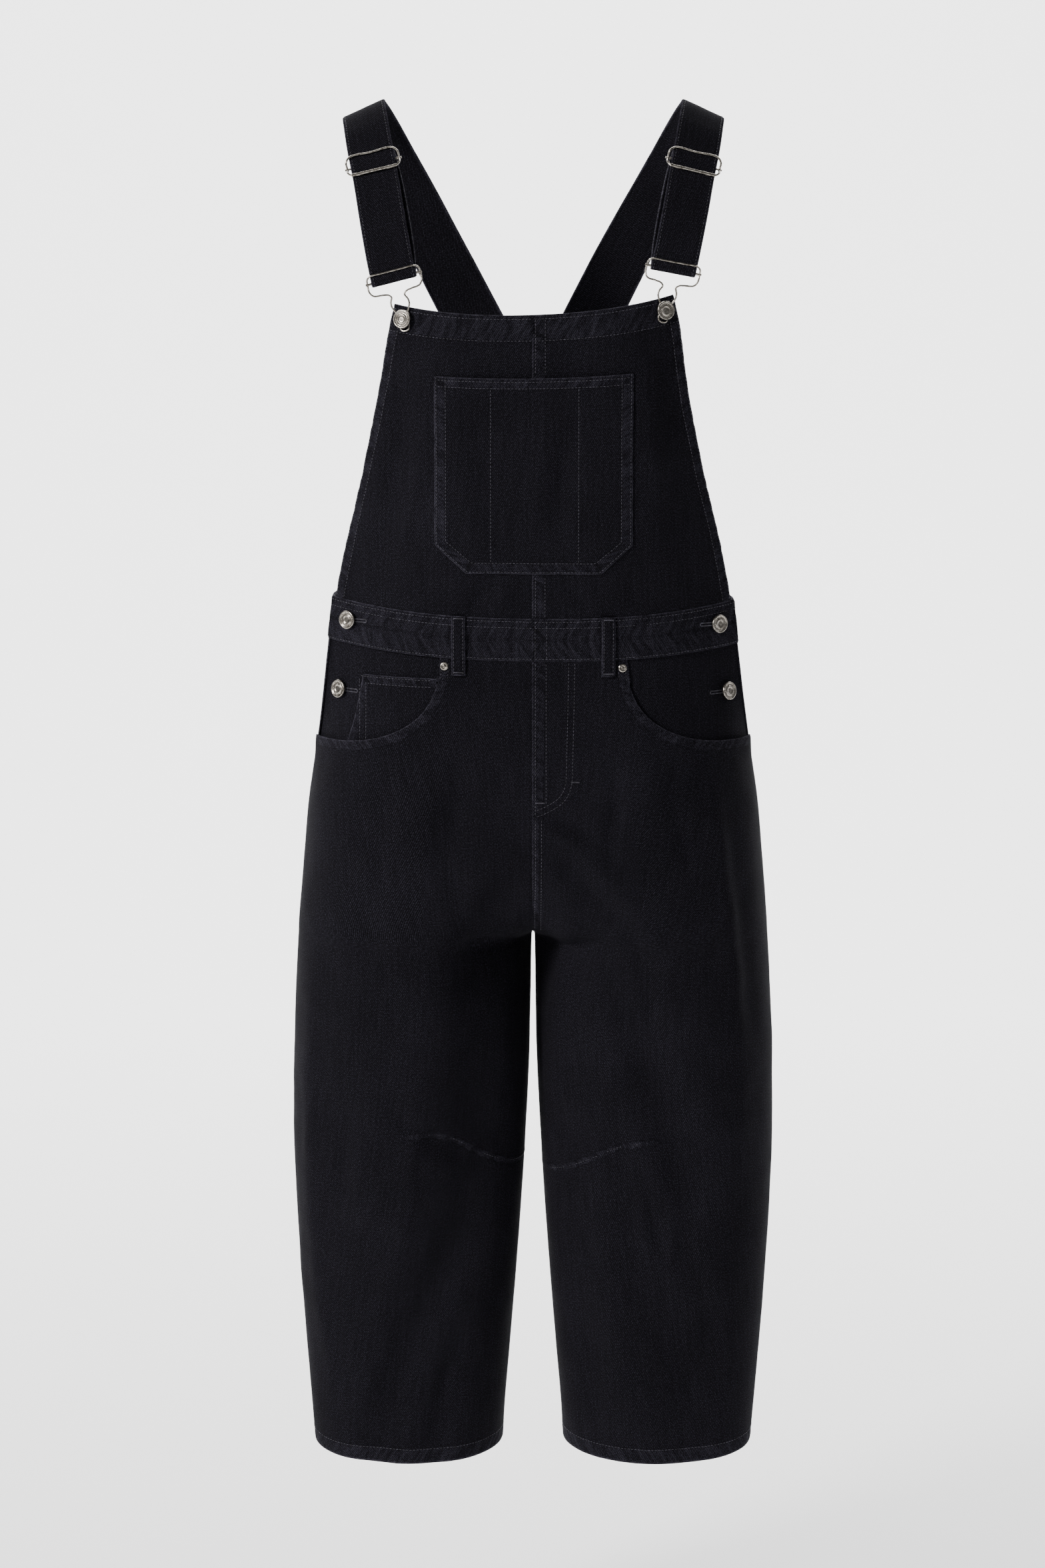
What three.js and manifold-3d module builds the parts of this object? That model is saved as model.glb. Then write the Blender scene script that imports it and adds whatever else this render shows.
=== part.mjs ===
// Denim dungarees, filled out as when worn, built from their cut and sewn pieces.
// Millimetres, +Z up, the front faces -Y. The origin is the middle of the line on which
// the two straps lie on the wearer's shoulders. "left" and "right" are the wearer's own.
import * as THREE from 'three';
import Module from 'manifold-3d';
import { mergeVertices } from 'three/addons/utils/BufferGeometryUtils.js';

const wasm = await Module();
wasm.setup();

// Driving dimensions
const CLOTH = 1.2;            // denim thickness
const GAP = 0.3;              // clearance between neighbouring pieces
const HALF_SEAM = GAP / 2;
const LAYER_GAP = 0.45;       // clearance between layers that lie on each other
const COIN_CLOTH = 1;         // the coin pocket's cloth
const BAND_PROUD = 0.9;       // the waistband's outer layer stands this far out
const BAND_INSIDE = 1.6;      // and its inner layer this far in
const HEM_FOLD = 13;          // height of the turned-up leg hem
const HEM_THICK = 2.6;        // cloth thickness at a folded hem
const HEM_SIDE_Z = -1268;     // leg hem at the side seam and inseam
const HEM_TILT = 0.167;       // the hem's plane is lower in front by this much per mm of depth
const CURVE_POWER = 2 / 2.2;  // squareness of the sections' outer corners
const WAIST = { topCentre: -469, topSide: -455.5, bottomCentre: -508, bottomSide: -496, back: 3 };
const BIB = { topCentre: -191, topSide: -178, hem: 24 };
const MOUTH = { inner: 86, outer: 200, top: -506, depth: 80, power: 2.5 };
const FACING_BOTTOM = -604;
const COIN = { outer: 163, top: -525, bottom: -600 };
const STAND = { inner: 152, top: -474, bottom: -600 };
const POCKET = {
  half: 90, top: -245, dip: 3, chamferTop: -400, bottom: -427, bottomHalf: 61.5, clear: 0.7, loose: 1,
};
const BACK_PEAK = { z: -258.5, shoulderZ: -282.5 };
const LOOP = { width: 12.5, x: 68.5, thick: 1.8 };
const STRAP = { thick: 2.2, returnGap: 5.2, returnShift: 3.5 };
const BUTTON = { radius: 8.5, height: 3.2, stem: 2 };
const RIVET = { radius: 4, height: 1.6, nub: 1.3 };
const WIRE = { hook: 0.85, slider: 0.95, crossbar: 1.2, sides: 6, hookSteps: 60, sliderSteps: 36 };

const DENIM = { color: 0x1d1c21, roughness: 0.92, metalness: 0 };
const NICKEL = { color: 0xa9a49c, roughness: 0.38, metalness: 1 };

// The garment's outside at each height: half-width at the side seam, where the flat front
// and back begin to round (apex), their depths there and at the centre line or inseam, how
// far in front of the middle the side seam lies, how round the front bends into it (0 to 1),
// the half-gap between the legs, how round the inner leg is (0 to 1), and the share of the
// panels' width that lies between the centre line and the apex.
const SECTION_COLUMNS = [
  'z', 'side', 'apex', 'front', 'back', 'frontEdge', 'backEdge', 'seam', 'bend', 'inner', 'round', 'split',
];
const SECTIONS = [
  [-150, 156, 48, 96, 100, 96, 100, 50, 0.6, 0, 0, 0.26],
  [-190, 158.5, 48, 101, 101, 101, 101, 50, 0.6, 0, 0, 0.26],
  [-250, 165, 50, 107, 102, 107, 102, 48, 0.5, 0, 0, 0.26],
  [-330, 173, 50, 109, 100, 109, 100, 46, 0.4, 0, 0, 0.26],
  [-400, 180, 50, 102, 95, 102, 95, 42, 0.25, 0, 0, 0.26],
  [-465, 186, 52, 91, 90, 91, 90, 38, 0.1, 0, 0, 0.26],
  [-504, 190.5, 56, 92.5, 94, 92.5, 94, 36, 0.1, 0, 0, 0.27],
  [-560, 197.3, 66, 100, 105, 99.5, 104.5, 28, 0.4, 0, 0, 0.31],
  [-600, 203, 78, 106.5, 117, 105.5, 116, 18, 0.75, 0, 0, 0.355],
  [-650, 210.5, 90, 115, 130, 112.5, 127, 6, 1, 0, 0, 0.41],
  [-700, 215, 98, 119, 137, 108, 123, 0, 1, 0, 0, 0.445],
  [-735, 218, 101, 118, 136, 91, 106, 0, 1, 0, 0, 0.46],
  [-758, 219.8, 103, 116, 133, 65, 77, 0, 1, 0, 0, 0.47],
  [-770, 220.5, 104, 115, 131, 34, 40, 0, 1, 0, 0, 0.474],
  [-775, 220.7, 104, 114.5, 130, 9, 10, 0, 1, 0.4, 0.02, 0.476],
  [-779, 221, 105, 114, 129, 0, 0, 0, 1, 0.9, 0.06, 0.478],
  [-800, 222.2, 106, 112, 126, 0, 0, 0, 1, 1.2, 0.3, 0.484],
  [-844, 224.3, 109, 107, 118, 0, 0, 0, 1, 2.2, 0.75, 0.493],
  [-900, 226, 113, 101, 107, 0, 0, 0, 1, 3.6, 1, 0.5],
  [-960, 226.7, 116, 96, 98, 0, 0, 0, 1, 6.5, 1, 0.5],
  [-1020, 225.3, 117, 90, 91, 0, 0, 0, 1, 10, 1, 0.5],
  [-1100, 221.2, 118, 81, 82, 0, 0, 0, 1, 15.7, 1, 0.5],
  [-1180, 215.6, 118, 73, 74, 0, 0, 0, 1, 22, 1, 0.5],
  [-1240, 210.6, 117, 68, 68, 0, 0, 0, 1, 27, 1, 0.5],
  [-1300, 205.5, 116, 64, 64, 0, 0, 0, 1, 30, 1, 0.5],
].map((row) => Object.fromEntries(SECTION_COLUMNS.map((name, i) => [name, row[i]])));

// The bib's side edge and the back panel's side edge: distance from the centre line
const BIB_EDGE = [
  { z: -177, x: 126.6 }, { z: -209, x: 133.6 }, { z: -258, x: 141.0 }, { z: -307, x: 150.9 },
  { z: -357, x: 161.6 }, { z: -408, x: 173.9 }, { z: -440, x: 180.2 }, { z: -466, x: 184.6 },
];
const BACK_EDGE = [
  { z: -282.5, x: 47.2 }, { z: -320, x: 58 }, { z: -360, x: 75 }, { z: -400, x: 103 },
  { z: -432, x: 139 }, { z: -456, x: 184.6 },
];

// The garment hangs slightly askew: how far each mm towards the wearer's left lifts it
const LEAN = [
  { z: 0, lift: 0 }, { z: -70, lift: 0 }, { z: -150, lift: 0.03 }, { z: -190, lift: 0.033 },
  { z: -250, lift: 0.012 }, { z: -330, lift: 0 }, { z: -440, lift: -0.008 }, { z: -500, lift: -0.012 },
  { z: -580, lift: 0 }, { z: -1300, lift: 0 },
];

// The largest folds: long soft troughs down the legs. x is the distance from the centre line.
const FOLDS = [
  { side: -1, face: 'front', path: [
    { z: -760, x: 62, depth: 0, width: 34 }, { z: -850, x: 51, depth: 4, width: 32 },
    { z: -980, x: 53, depth: 5.5, width: 30 }, { z: -1090, x: 82, depth: 7, width: 26 },
    { z: -1180, x: 121, depth: 6, width: 24 }, { z: -1285, x: 152, depth: 2.5, width: 22 }] },
  { side: -1, face: 'front', path: [
    { z: -1120, x: 70, depth: 0, width: 20 }, { z: -1210, x: 84, depth: 3, width: 18 },
    { z: -1285, x: 98, depth: 1.5, width: 18 }] },
  { side: 1, face: 'front', path: [
    { z: -720, x: 40, depth: 0, width: 26 }, { z: -800, x: 75, depth: 4.5, width: 26 },
    { z: -900, x: 111, depth: 6, width: 28 }, { z: -1000, x: 143, depth: 6, width: 28 },
    { z: -1090, x: 130, depth: 5.5, width: 30 }, { z: -1200, x: 146, depth: 4, width: 28 },
    { z: -1285, x: 148, depth: 1.5, width: 24 }] },
  { side: -1, face: 'back', path: [
    { z: -770, x: 50, depth: 0, width: 30 }, { z: -880, x: 70, depth: 5, width: 30 },
    { z: -1010, x: 112, depth: 7, width: 28 }, { z: -1140, x: 132, depth: 5, width: 26 },
    { z: -1270, x: 140, depth: 1.5, width: 24 }] },
  { side: 1, face: 'back', path: [
    { z: -780, x: 58, depth: 0, width: 30 }, { z: -900, x: 62, depth: 5, width: 28 },
    { z: -1020, x: 90, depth: 6.5, width: 28 }, { z: -1150, x: 124, depth: 5.5, width: 26 },
    { z: -1270, x: 134, depth: 2, width: 24 }] },
];

// Each strap's middle line and the downward slope of its width towards the arm, from the
// back panel over the shoulder to the hook. x is the distance from the centre line.
const STRAP_PATH = [
  { x: 23.6, y: 100.6, z: -270.5, slope: 27, width: 53 },
  { x: 50, y: 99.5, z: -219, slope: 27, width: 53 },
  { x: 78, y: 95, z: -164, slope: 27, width: 52 },
  { x: 107, y: 84, z: -107, slope: 27, width: 49 },
  { x: 131, y: 65, z: -59, slope: 26, width: 45 },
  { x: 147, y: 40, z: -26, slope: 25, width: 42.5 },
  { x: 154.5, y: 17, z: -12.5, slope: 25, width: 42 },
  { x: 155.6, y: -4, z: -10, slope: 24, width: 42 },
  { x: 153, y: -24, z: -22, slope: 22, width: 42 },
  { x: 149, y: -41, z: -43, slope: 18, width: 42 },
  { x: 143.6, y: -57, z: -68, slope: 14, width: 41.5 },
  { x: 137.2, y: -73, z: -103, slope: 12, width: 41.5 },
  { x: 130.5, y: -85, z: -137, slope: 12, width: 41.5 },
  { x: 126.6, y: -90, z: -154.5, slope: 12, width: 41.5 },
];
const SLIDER_AT = 0.735;      // share of the strap's middle line at which the slider's crossbar lies

// The hook's wire, from its top bar round to the loop behind the button: a across and
// b up from the button's middle, n out from the bib or, above, from the strap's crossbar
const HOOK_BAR = { b: 37.6, n: 2.9, half: 26 };
const HOOK_WIRE = [
  { a: 0, b: 43.6, n: 7.8 }, { a: 10, b: 43.6, n: 7.8 }, { a: 20.5, b: 43.4, n: 7.8 },
  { a: 23.8, b: 41.2, n: 6 }, { a: 24.4, b: 37.6, n: 2.9 }, { a: 24.2, b: 30.5, n: 2.4 },
  { a: 21.5, b: 26.4, n: 2.3 }, { a: 14, b: 25.2, n: 2.2 }, { a: 8.4, b: 24, n: 2.1 },
  { a: 6.2, b: 21.4, n: 2 }, { a: 8.2, b: 17, n: 1.8 }, { a: 8.6, b: 12.6, n: 1.6 },
  { a: 6.4, b: 8, n: 1.4 }, { a: 3.8, b: 3.5, n: 1.4 }, { a: 3.4, b: -1, n: 1.4 },
  { a: 4.6, b: -5.5, n: 1.4 }, { a: 3.6, b: -9.6, n: 1.4 }, { a: 0, b: -10.8, n: 1.4 },
];
const SLIDER_FRAME = {
  half: 24, up: 9.4, down: 10, corner: 4.2, bar: 1.5, pin: 26.4, crossbar: 1, bend: 0.5,
};

// Smooth curve through one column of a table whose rows run down in z
function column(table, name, z) {
  const last = table.length - 1;
  if (z >= table[0].z) return table[0][name];
  if (z <= table[last].z) return table[last][name];
  let i = 0;
  while (table[i + 1].z > z) i += 1;
  const rise = (k) => (table[k + 1][name] - table[k][name]) / (table[k + 1].z - table[k].z);
  const tangent = (k) => {
    if (k === 0) return rise(0);
    if (k === last) return rise(last - 1);
    const before = rise(k - 1);
    const after = rise(k);
    return before * after <= 0 ? 0 : (2 * before * after) / (before + after);
  };
  const span = table[i + 1].z - table[i].z;
  const t = (z - table[i].z) / span;
  const t2 = t * t;
  const t3 = t2 * t;
  return (2 * t3 - 3 * t2 + 1) * table[i][name] + (t3 - 2 * t2 + t) * span * tangent(i)
    + (3 * t2 - 2 * t3) * table[i + 1][name] + (t3 - t2) * span * tangent(i + 1);
}

const mix = (a, b, t) => a + (b - a) * t;
const clamp01 = (t) => Math.min(1, Math.max(0, t));

// One quarter of the body at one height. t runs from the centre line or inseam (0) over the
// apex (1) to the side seam (2).
function quarterPoint(quarter, t) {
  if (t <= 1) {
    const angle = t * Math.PI / 2;
    const across = mix(t, 1 - Math.cos(angle), quarter.round);
    return [mix(quarter.inner, quarter.apex, across), mix(quarter.edge, quarter.depth, Math.sin(angle))];
  }
  const angle = (t - 1) * Math.PI / 2;
  const out = mix(t - 1, Math.sin(angle) ** CURVE_POWER, quarter.bend);
  const deep = Math.max(0, Math.cos(angle)) ** CURVE_POWER;
  return [mix(quarter.apex, quarter.side, out), mix(quarter.seam, quarter.depth, deep)];
}

const ARC_STEPS = 30;
const quarters = new Map();

// Lengths along one arc of a quarter, which starts at t = first
function arcLengths(quarter, first) {
  const lengths = [0];
  let before = quarterPoint(quarter, first);
  for (let i = 1; i <= ARC_STEPS; i += 1) {
    const point = quarterPoint(quarter, first + i / ARC_STEPS);
    lengths.push(lengths[i - 1] + Math.hypot(point[0] - before[0], point[1] - before[1]));
    before = point;
  }
  return lengths;
}

// A quarter with the lengths of its two arcs, kept for reuse
function quarterAt(face, z) {
  const key = face + z.toFixed(4);
  if (quarters.has(key)) return quarters.get(key);
  const quarter = {
    side: column(SECTIONS, 'side', z),
    apex: column(SECTIONS, 'apex', z),
    depth: column(SECTIONS, face, z),
    edge: column(SECTIONS, `${face}Edge`, z),
    inner: column(SECTIONS, 'inner', z),
    round: column(SECTIONS, 'round', z),
    seam: column(SECTIONS, 'seam', z) * (face === 'front' ? 1 : -1),
    bend: face === 'front' ? column(SECTIONS, 'bend', z) : 1,
    split: column(SECTIONS, 'split', z),
  };
  quarter.arcs = [arcLengths(quarter, 0), arcLengths(quarter, 1)];
  quarters.set(key, quarter);
  return quarter;
}

// Point at a share of the panel's width, measured evenly along each of the two arcs
function quarterAtShare(quarter, share) {
  const inner = share <= quarter.split;
  const lengths = quarter.arcs[inner ? 0 : 1];
  const part = inner ? share / quarter.split : (share - quarter.split) / (1 - quarter.split);
  const wanted = clamp01(part) * lengths[ARC_STEPS];
  let i = 0;
  while (i < ARC_STEPS - 1 && lengths[i + 1] < wanted) i += 1;
  const step = (wanted - lengths[i]) / (lengths[i + 1] - lengths[i]);
  return quarterPoint(quarter, (inner ? 0 : 1) + (i + step) / ARC_STEPS);
}

// The body's outside on the wearer's left. s runs from the centre front or inseam (0) to the
// side seam (1) and on to the centre back or inseam (2).
function bodyPoint(s, z) {
  const face = s <= 1 ? 'front' : 'back';
  const [x, deep] = quarterAtShare(quarterAt(face, z), s <= 1 ? s : 2 - s);
  return new THREE.Vector3(x, s <= 1 ? -deep : deep, z);
}

function outward(s, z) {
  const low = s <= 1 ? 0 : 1;
  const stepS = 0.004;
  const stepZ = 0.6;
  const s0 = Math.max(low, s - stepS);
  const s1 = Math.min(low + 1, s + stepS);
  const along = bodyPoint(s1, z).sub(bodyPoint(s0, z));
  const up = bodyPoint(s, z + stepZ).sub(bodyPoint(s, z - stepZ));
  return along.cross(up).normalize();
}

// How deep the folds push the cloth in at one place
function foldDepth(side, s, z, x) {
  const face = s <= 1 ? 'front' : 'back';
  let depth = 0;
  for (const fold of FOLDS) {
    const inside = z < fold.path[0].z && fold.side === side && fold.face === face;
    if (inside) {
      const away = (x - column(fold.path, 'x', z)) / column(fold.path, 'width', z);
      depth += column(fold.path, 'depth', z) * Math.exp(-away * away);
    }
  }
  const edge = Math.min(s <= 1 ? s : 2 - s, Math.abs(1 - s));
  return depth * clamp01(edge / 0.12);
}

function lean(point) {
  point.z += column(LEAN, 'lift', point.z) * point.x;
  return point;
}

// A point of the garment's outside moved out by `offset`, on the wearer's left (side 1)
// or right (side -1)
function garmentPoint(side, s, z, offset) {
  const point = bodyPoint(s, z);
  const depth = foldDepth(side, s, z, point.x);
  point.addScaledVector(outward(s, z), offset - depth);
  const seamY = Math.abs(s - 1) < 0.5 ? -column(SECTIONS, 'seam', z) : 0;
  point.y = s <= 1 ? Math.min(point.y, seamY - HALF_SEAM) : Math.max(point.y, seamY + HALF_SEAM);
  point.x = Math.max(point.x, 0) * side;
  return lean(point);
}

// The share s at which the body is x wide of the centre line
function shareAt(face, z, x) {
  const quarter = quarterAt(face, z);
  let low = 0;
  let high = 1;
  for (let i = 0; i < 40; i += 1) {
    const middle = (low + high) / 2;
    if (quarterAtShare(quarter, middle)[0] < x) low = middle;
    else high = middle;
  }
  return face === 'front' ? (low + high) / 2 : 2 - (low + high) / 2;
}

// Shares that half a seam's gap takes at the centre line and at the side seam
function seamShare(face, z, atSide = false) {
  const quarter = quarterAt(face, z);
  const part = atSide ? 1 - quarter.split : quarter.split;
  return part * HALF_SEAM / quarter.arcs[atSide ? 1 : 0][ARC_STEPS];
}

// Heights of the waistband's edges at each place round the body
function waistTop(s) {
  return s <= 1 ? mix(WAIST.topCentre, WAIST.topSide, s * s) : WAIST.topSide + WAIST.back * (s - 1);
}

function waistBottom(s) {
  if (s <= 1) return mix(WAIST.bottomCentre, WAIST.bottomSide, s * s);
  return WAIST.bottomSide + WAIST.back * (s - 1);
}

// Closed wall between an outer and an inner grid of points
function wallGeometry(columns, rows, pointAt) {
  const positions = [];
  for (const face of [0, 1]) {
    for (let j = 0; j <= rows; j += 1) {
      for (let i = 0; i <= columns; i += 1) positions.push(...pointAt(i, j, face).toArray());
    }
  }
  const at = (i, j, face) => (face * (rows + 1) + j) * (columns + 1) + i;
  const index = [];
  const quad = (a, b, c, d) => index.push(a, b, c, a, c, d);
  for (let j = 0; j < rows; j += 1) {
    for (let i = 0; i < columns; i += 1) {
      quad(at(i, j, 0), at(i, j + 1, 0), at(i + 1, j + 1, 0), at(i + 1, j, 0));
      quad(at(i, j, 1), at(i + 1, j, 1), at(i + 1, j + 1, 1), at(i, j + 1, 1));
    }
  }
  for (let i = 0; i < columns; i += 1) {
    quad(at(i, 0, 1), at(i, 0, 0), at(i + 1, 0, 0), at(i + 1, 0, 1));
    quad(at(i, rows, 0), at(i, rows, 1), at(i + 1, rows, 1), at(i + 1, rows, 0));
  }
  for (let j = 0; j < rows; j += 1) {
    quad(at(0, j, 0), at(0, j, 1), at(0, j + 1, 1), at(0, j + 1, 0));
    quad(at(columns, j, 1), at(columns, j, 0), at(columns, j + 1, 0), at(columns, j + 1, 1));
  }
  return facingOut(positions, index);
}

// Geometry whose faces point out, whichever way round its points were listed
function facingOut(positions, index) {
  const corner = (k) => new THREE.Vector3().fromArray(positions, 3 * index[k]);
  let volume = 0;
  for (let k = 0; k < index.length; k += 3) volume += corner(k).dot(corner(k + 1).cross(corner(k + 2)));
  if (volume < 0) {
    for (let k = 0; k < index.length; k += 3) [index[k], index[k + 1]] = [index[k + 1], index[k]];
  }
  const geometry = new THREE.BufferGeometry();
  geometry.setAttribute('position', new THREE.Float32BufferAttribute(positions, 3));
  geometry.setIndex(index);
  geometry.computeVertexNormals();
  return geometry;
}

const part = new THREE.Group();

function addPiece(name, geometry, finish) {
  const mesh = new THREE.Mesh(geometry, new THREE.MeshStandardMaterial(finish));
  mesh.name = name;
  part.add(mesh);
  return mesh;
}

const SIDES = [{ name: 'left', sign: 1 }, { name: 'right', sign: -1 }];

// Piece on the body: `place(i, j)` gives { side, s, z } and `faces(i, j)` the offsets of its
// outer and inner faces
function addPanel(name, columns, rows, place, faces) {
  const geometry = wallGeometry(columns, rows, (i, j, face) => {
    const spot = place(i, j);
    return garmentPoint(spot.side, spot.s, spot.z, faces(i, j)[face]);
  });
  return addPiece(name, geometry, DENIM);
}

// How far the facing's outer face lies inside the garment's outside
const facingDepth = (sign) => CLOTH + LAYER_GAP + (sign < 0 ? COIN_CLOTH + LAYER_GAP : 0);

// Legs
const LEG_LEVELS = [
  -645, -672, -698, -720, -738, -752, -763, -770, -774.5, -779, -790, -812, -845, -880, -920,
  -960, -1000, -1045, -1090, -1135, -1180, -1222,
];
const TOP_ROWS = 3;
const LEG_ROWS = TOP_ROWS + LEG_LEVELS.length + 1;
const CENTRE_COLUMNS = 6;
const MOUTH_COLUMNS_X = [86, 87.5, 91.5, 98.5, 109, 124, 143, COIN.outer];
const SIDE_COLUMNS = 3;
const BACK_COLUMNS = 12;
const HEM_BLEND_TOP = -1130;

function mouthHeight(x) {
  const away = clamp01((MOUTH.outer - x) / (MOUTH.outer - MOUTH.inner));
  return MOUTH.top - MOUTH.depth * (1 - away ** MOUTH.power) ** (1 / MOUTH.power);
}

// The front legs' columns: each one's share of the way to the side seam and its top height
function frontColumns() {
  const first = shareAt('front', MOUTH.top, MOUTH.inner);
  const shares = [];
  for (let i = 0; i < CENTRE_COLUMNS; i += 1) shares.push(first * i / CENTRE_COLUMNS);
  for (const x of MOUTH_COLUMNS_X) shares.push(shareAt('front', mouthHeight(x), x));
  const last = shares[shares.length - 1];
  for (let i = 1; i <= SIDE_COLUMNS; i += 1) shares.push(mix(last, 1, i / SIDE_COLUMNS));
  return shares.map((share, i) => {
    const band = waistBottom(share) - GAP;
    if (i < CENTRE_COLUMNS) return { share, top: band };
    const x = quarterAtShare(quarterAt('front', MOUTH.top - MOUTH.depth), share)[0];
    return { share, top: Math.min(band, mouthHeight(i === CENTRE_COLUMNS ? MOUTH.inner : x)) };
  });
}

const FRONT_COLUMNS = frontColumns();

function frontColumn(i) {
  return FRONT_COLUMNS[i];
}

function backColumn(i) {
  const share = 2 - i / BACK_COLUMNS;
  return { share, top: waistBottom(share) - GAP };
}

// Height of a leg's row, which follows the top edge above the hips and the tilted hem below
function legLevel(top, s, j) {
  if (j < TOP_ROWS) return mix(top, LEG_LEVELS[0], j / TOP_ROWS);
  const level = LEG_LEVELS[j - TOP_ROWS] ?? HEM_SIDE_Z + (j === LEG_ROWS ? 0 : HEM_FOLD);
  const blend = clamp01((level - HEM_BLEND_TOP) / (HEM_SIDE_Z - HEM_BLEND_TOP));
  return level + HEM_TILT * bodyPoint(s, level).y * blend;
}

function addLeg(name, side, face, columns, columnAt) {
  const place = (i, j) => {
    const { share, top } = columnAt(i);
    const z = legLevel(top, share, j);
    const centreGap = seamShare(face, z);
    const sideGap = seamShare(face, z, true);
    const [low, high] = face === 'front' ? [centreGap, 1 - sideGap] : [1 + sideGap, 2 - centreGap];
    return { side, s: Math.min(high, Math.max(low, share)), z };
  };
  const hemRows = LEG_ROWS - 1;
  addPanel(name, columns, LEG_ROWS, place, (i, j) => [0, j >= hemRows ? -HEM_THICK : -CLOTH]);
}

// Piece on the front over the given shares of the way round and between two heights
function addStrip(name, side, shares, rows, topAt, bottomAt, faces) {
  addPanel(name, shares.length - 1, rows, (i, j) => {
    const s = shares[i];
    return { side, s, z: mix(topAt(s), bottomAt(s), j / rows) };
  }, () => faces);
}

const evenShares = (from, to, count) =>
  Array.from({ length: count + 1 }, (_, i) => mix(from, to, i / count));

// The pocket's pieces lie under the front leg, with its own columns, so they stay clear of it
function addTrousers() {
  const all = FRONT_COLUMNS.map((c) => c.share);
  const end = 1 - seamShare('front', MOUTH.top, true);
  const underMouth = [...all.slice(CENTRE_COLUMNS - 1, -1), end];
  const coinEnd = CENTRE_COLUMNS + MOUTH_COLUMNS_X.length;
  const coinShares = all.slice(CENTRE_COLUMNS, coinEnd);
  const bandClear = (s) => waistBottom(s) - GAP;
  for (const { name, sign } of SIDES) {
    addLeg(`front_leg_${name}`, sign, 'front', FRONT_COLUMNS.length - 1, frontColumn);
    addLeg(`back_leg_${name}`, sign, 'back', BACK_COLUMNS, backColumn);
    const outer = facingDepth(sign);
    addStrip(`hip_facing_${name}`, sign, underMouth, 5, bandClear, () => FACING_BOTTOM,
      [-outer, -outer - CLOTH]);
    const stand = outer + CLOTH + GAP + BAND_INSIDE;
    const standShares = [shareAt('front', STAND.top, STAND.inner), ...all.slice(coinEnd, -1), end];
    addStrip(`button_stand_${name}`, sign, standShares, 6, () => STAND.top, () => STAND.bottom,
      [-stand, -stand - CLOTH]);
  }
  const coinOuter = CLOTH + LAYER_GAP;
  addStrip('coin_pocket', -1, coinShares, 4, () => COIN.top, () => COIN.bottom,
    [-coinOuter, -coinOuter - COIN_CLOTH]);
}

// Waistband
function addWaistband() {
  const faces = [BAND_PROUD, -BAND_INSIDE];
  const shares = evenShares(
    seamShare('front', WAIST.topCentre), 1 - seamShare('front', WAIST.topCentre, true), 12,
  );
  for (const { name, sign } of SIDES) {
    addStrip(`waistband_front_${name}`, sign, shares, 2, waistTop, waistBottom, faces);
  }
  const columns = 24;
  addPanel('waistband_back', columns, 2, (i, j) => {
    const across = 2 * i / columns - 1;
    const s = 2 - Math.abs(across) * (1 - seamShare('back', WAIST.topSide, true));
    return { side: across < 0 ? -1 : 1, s, z: mix(waistTop(s), waistBottom(s), j / 2) };
  }, () => faces);
}

// Bib and its pocket
const BIB_COLUMNS = 11;
const BIB_ROWS = [0, BIB.hem, 60, 100, 140, 180, 220, 255];

function addBib() {
  const span = BIB.topCentre - WAIST.topCentre;
  for (const { name, sign } of SIDES) {
    addPanel(`bib_${name}`, BIB_COLUMNS, BIB_ROWS.length, (i, j) => {
      const across = i / BIB_COLUMNS;
      const down = j < BIB_ROWS.length ? BIB_ROWS[j] / span : 1;
      const edgeZ = mix(BIB.topSide, WAIST.topSide, down);
      const top = mix(BIB.topCentre, BIB.topSide, across * across);
      const edge = shareAt('front', edgeZ, column(BIB_EDGE, 'x', edgeZ));
      const s = mix(seamShare('front', edgeZ), edge, across);
      return { side: sign, s, z: mix(top, waistTop(s) + GAP, down) };
    }, (i, j) => [0, j <= 1 ? -2 * CLOTH : -CLOTH]);
  }
}

function addBibPocket() {
  const columns = 12;
  const straight = POCKET.top - POCKET.chamferTop;
  const height = POCKET.top - POCKET.bottom;
  const heights = [0, 15, 50, 85, 120, straight, (straight + height) / 2, height];
  const rows = heights.length - 1;
  addPanel('bib_pocket', columns, rows, (i, j) => {
    const across = 2 * i / columns - 1;
    const level = POCKET.top - heights[j];
    const cut = clamp01((heights[j] - straight) / (height - straight));
    const half = mix(POCKET.half, POCKET.bottomHalf, cut);
    const z = level - POCKET.dip * (1 - across * across) * (1 - j / rows);
    return { side: across < 0 ? -1 : 1, s: shareAt('front', z, Math.abs(across) * half), z };
  }, (i, j) => {
    const under = POCKET.clear + (j <= 1 && i > 0 && i < columns ? POCKET.loose : 0);
    return [under + (j <= 1 ? 2 : 1) * CLOTH, under];
  });
}

// Back panel, which narrows upwards to the two straps
function addBackBib() {
  const columns = 14;
  const rows = 9;
  addPanel('back_bib', columns, rows, (i, j) => {
    const across = 2 * i / columns - 1;
    const down = j / rows;
    const edgeZ = mix(BACK_PEAK.shoulderZ, waistTop(1), down);
    const centreZ = mix(BACK_PEAK.z, waistTop(2), down);
    const level = mix(centreZ, edgeZ, Math.abs(across)) - GAP * (1 - down);
    const s = shareAt('back', level, Math.abs(across) * column(BACK_EDGE, 'x', edgeZ));
    return { side: across < 0 ? -1 : 1, s, z: j === rows ? waistTop(s) + GAP : level };
  }, () => [0, -CLOTH]);
}

// Belt loops
const LOOP_ROWS = [
  { down: 0, off: 1.3 }, { down: 3, off: 1.4 }, { down: 12, off: 2.2 }, { down: 24, off: 2.6 },
  { down: 35, off: 2.1 }, { down: 42, off: 1.3 }, { down: 48, off: 0.9 }, { down: 55, off: 0.8 },
];

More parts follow.
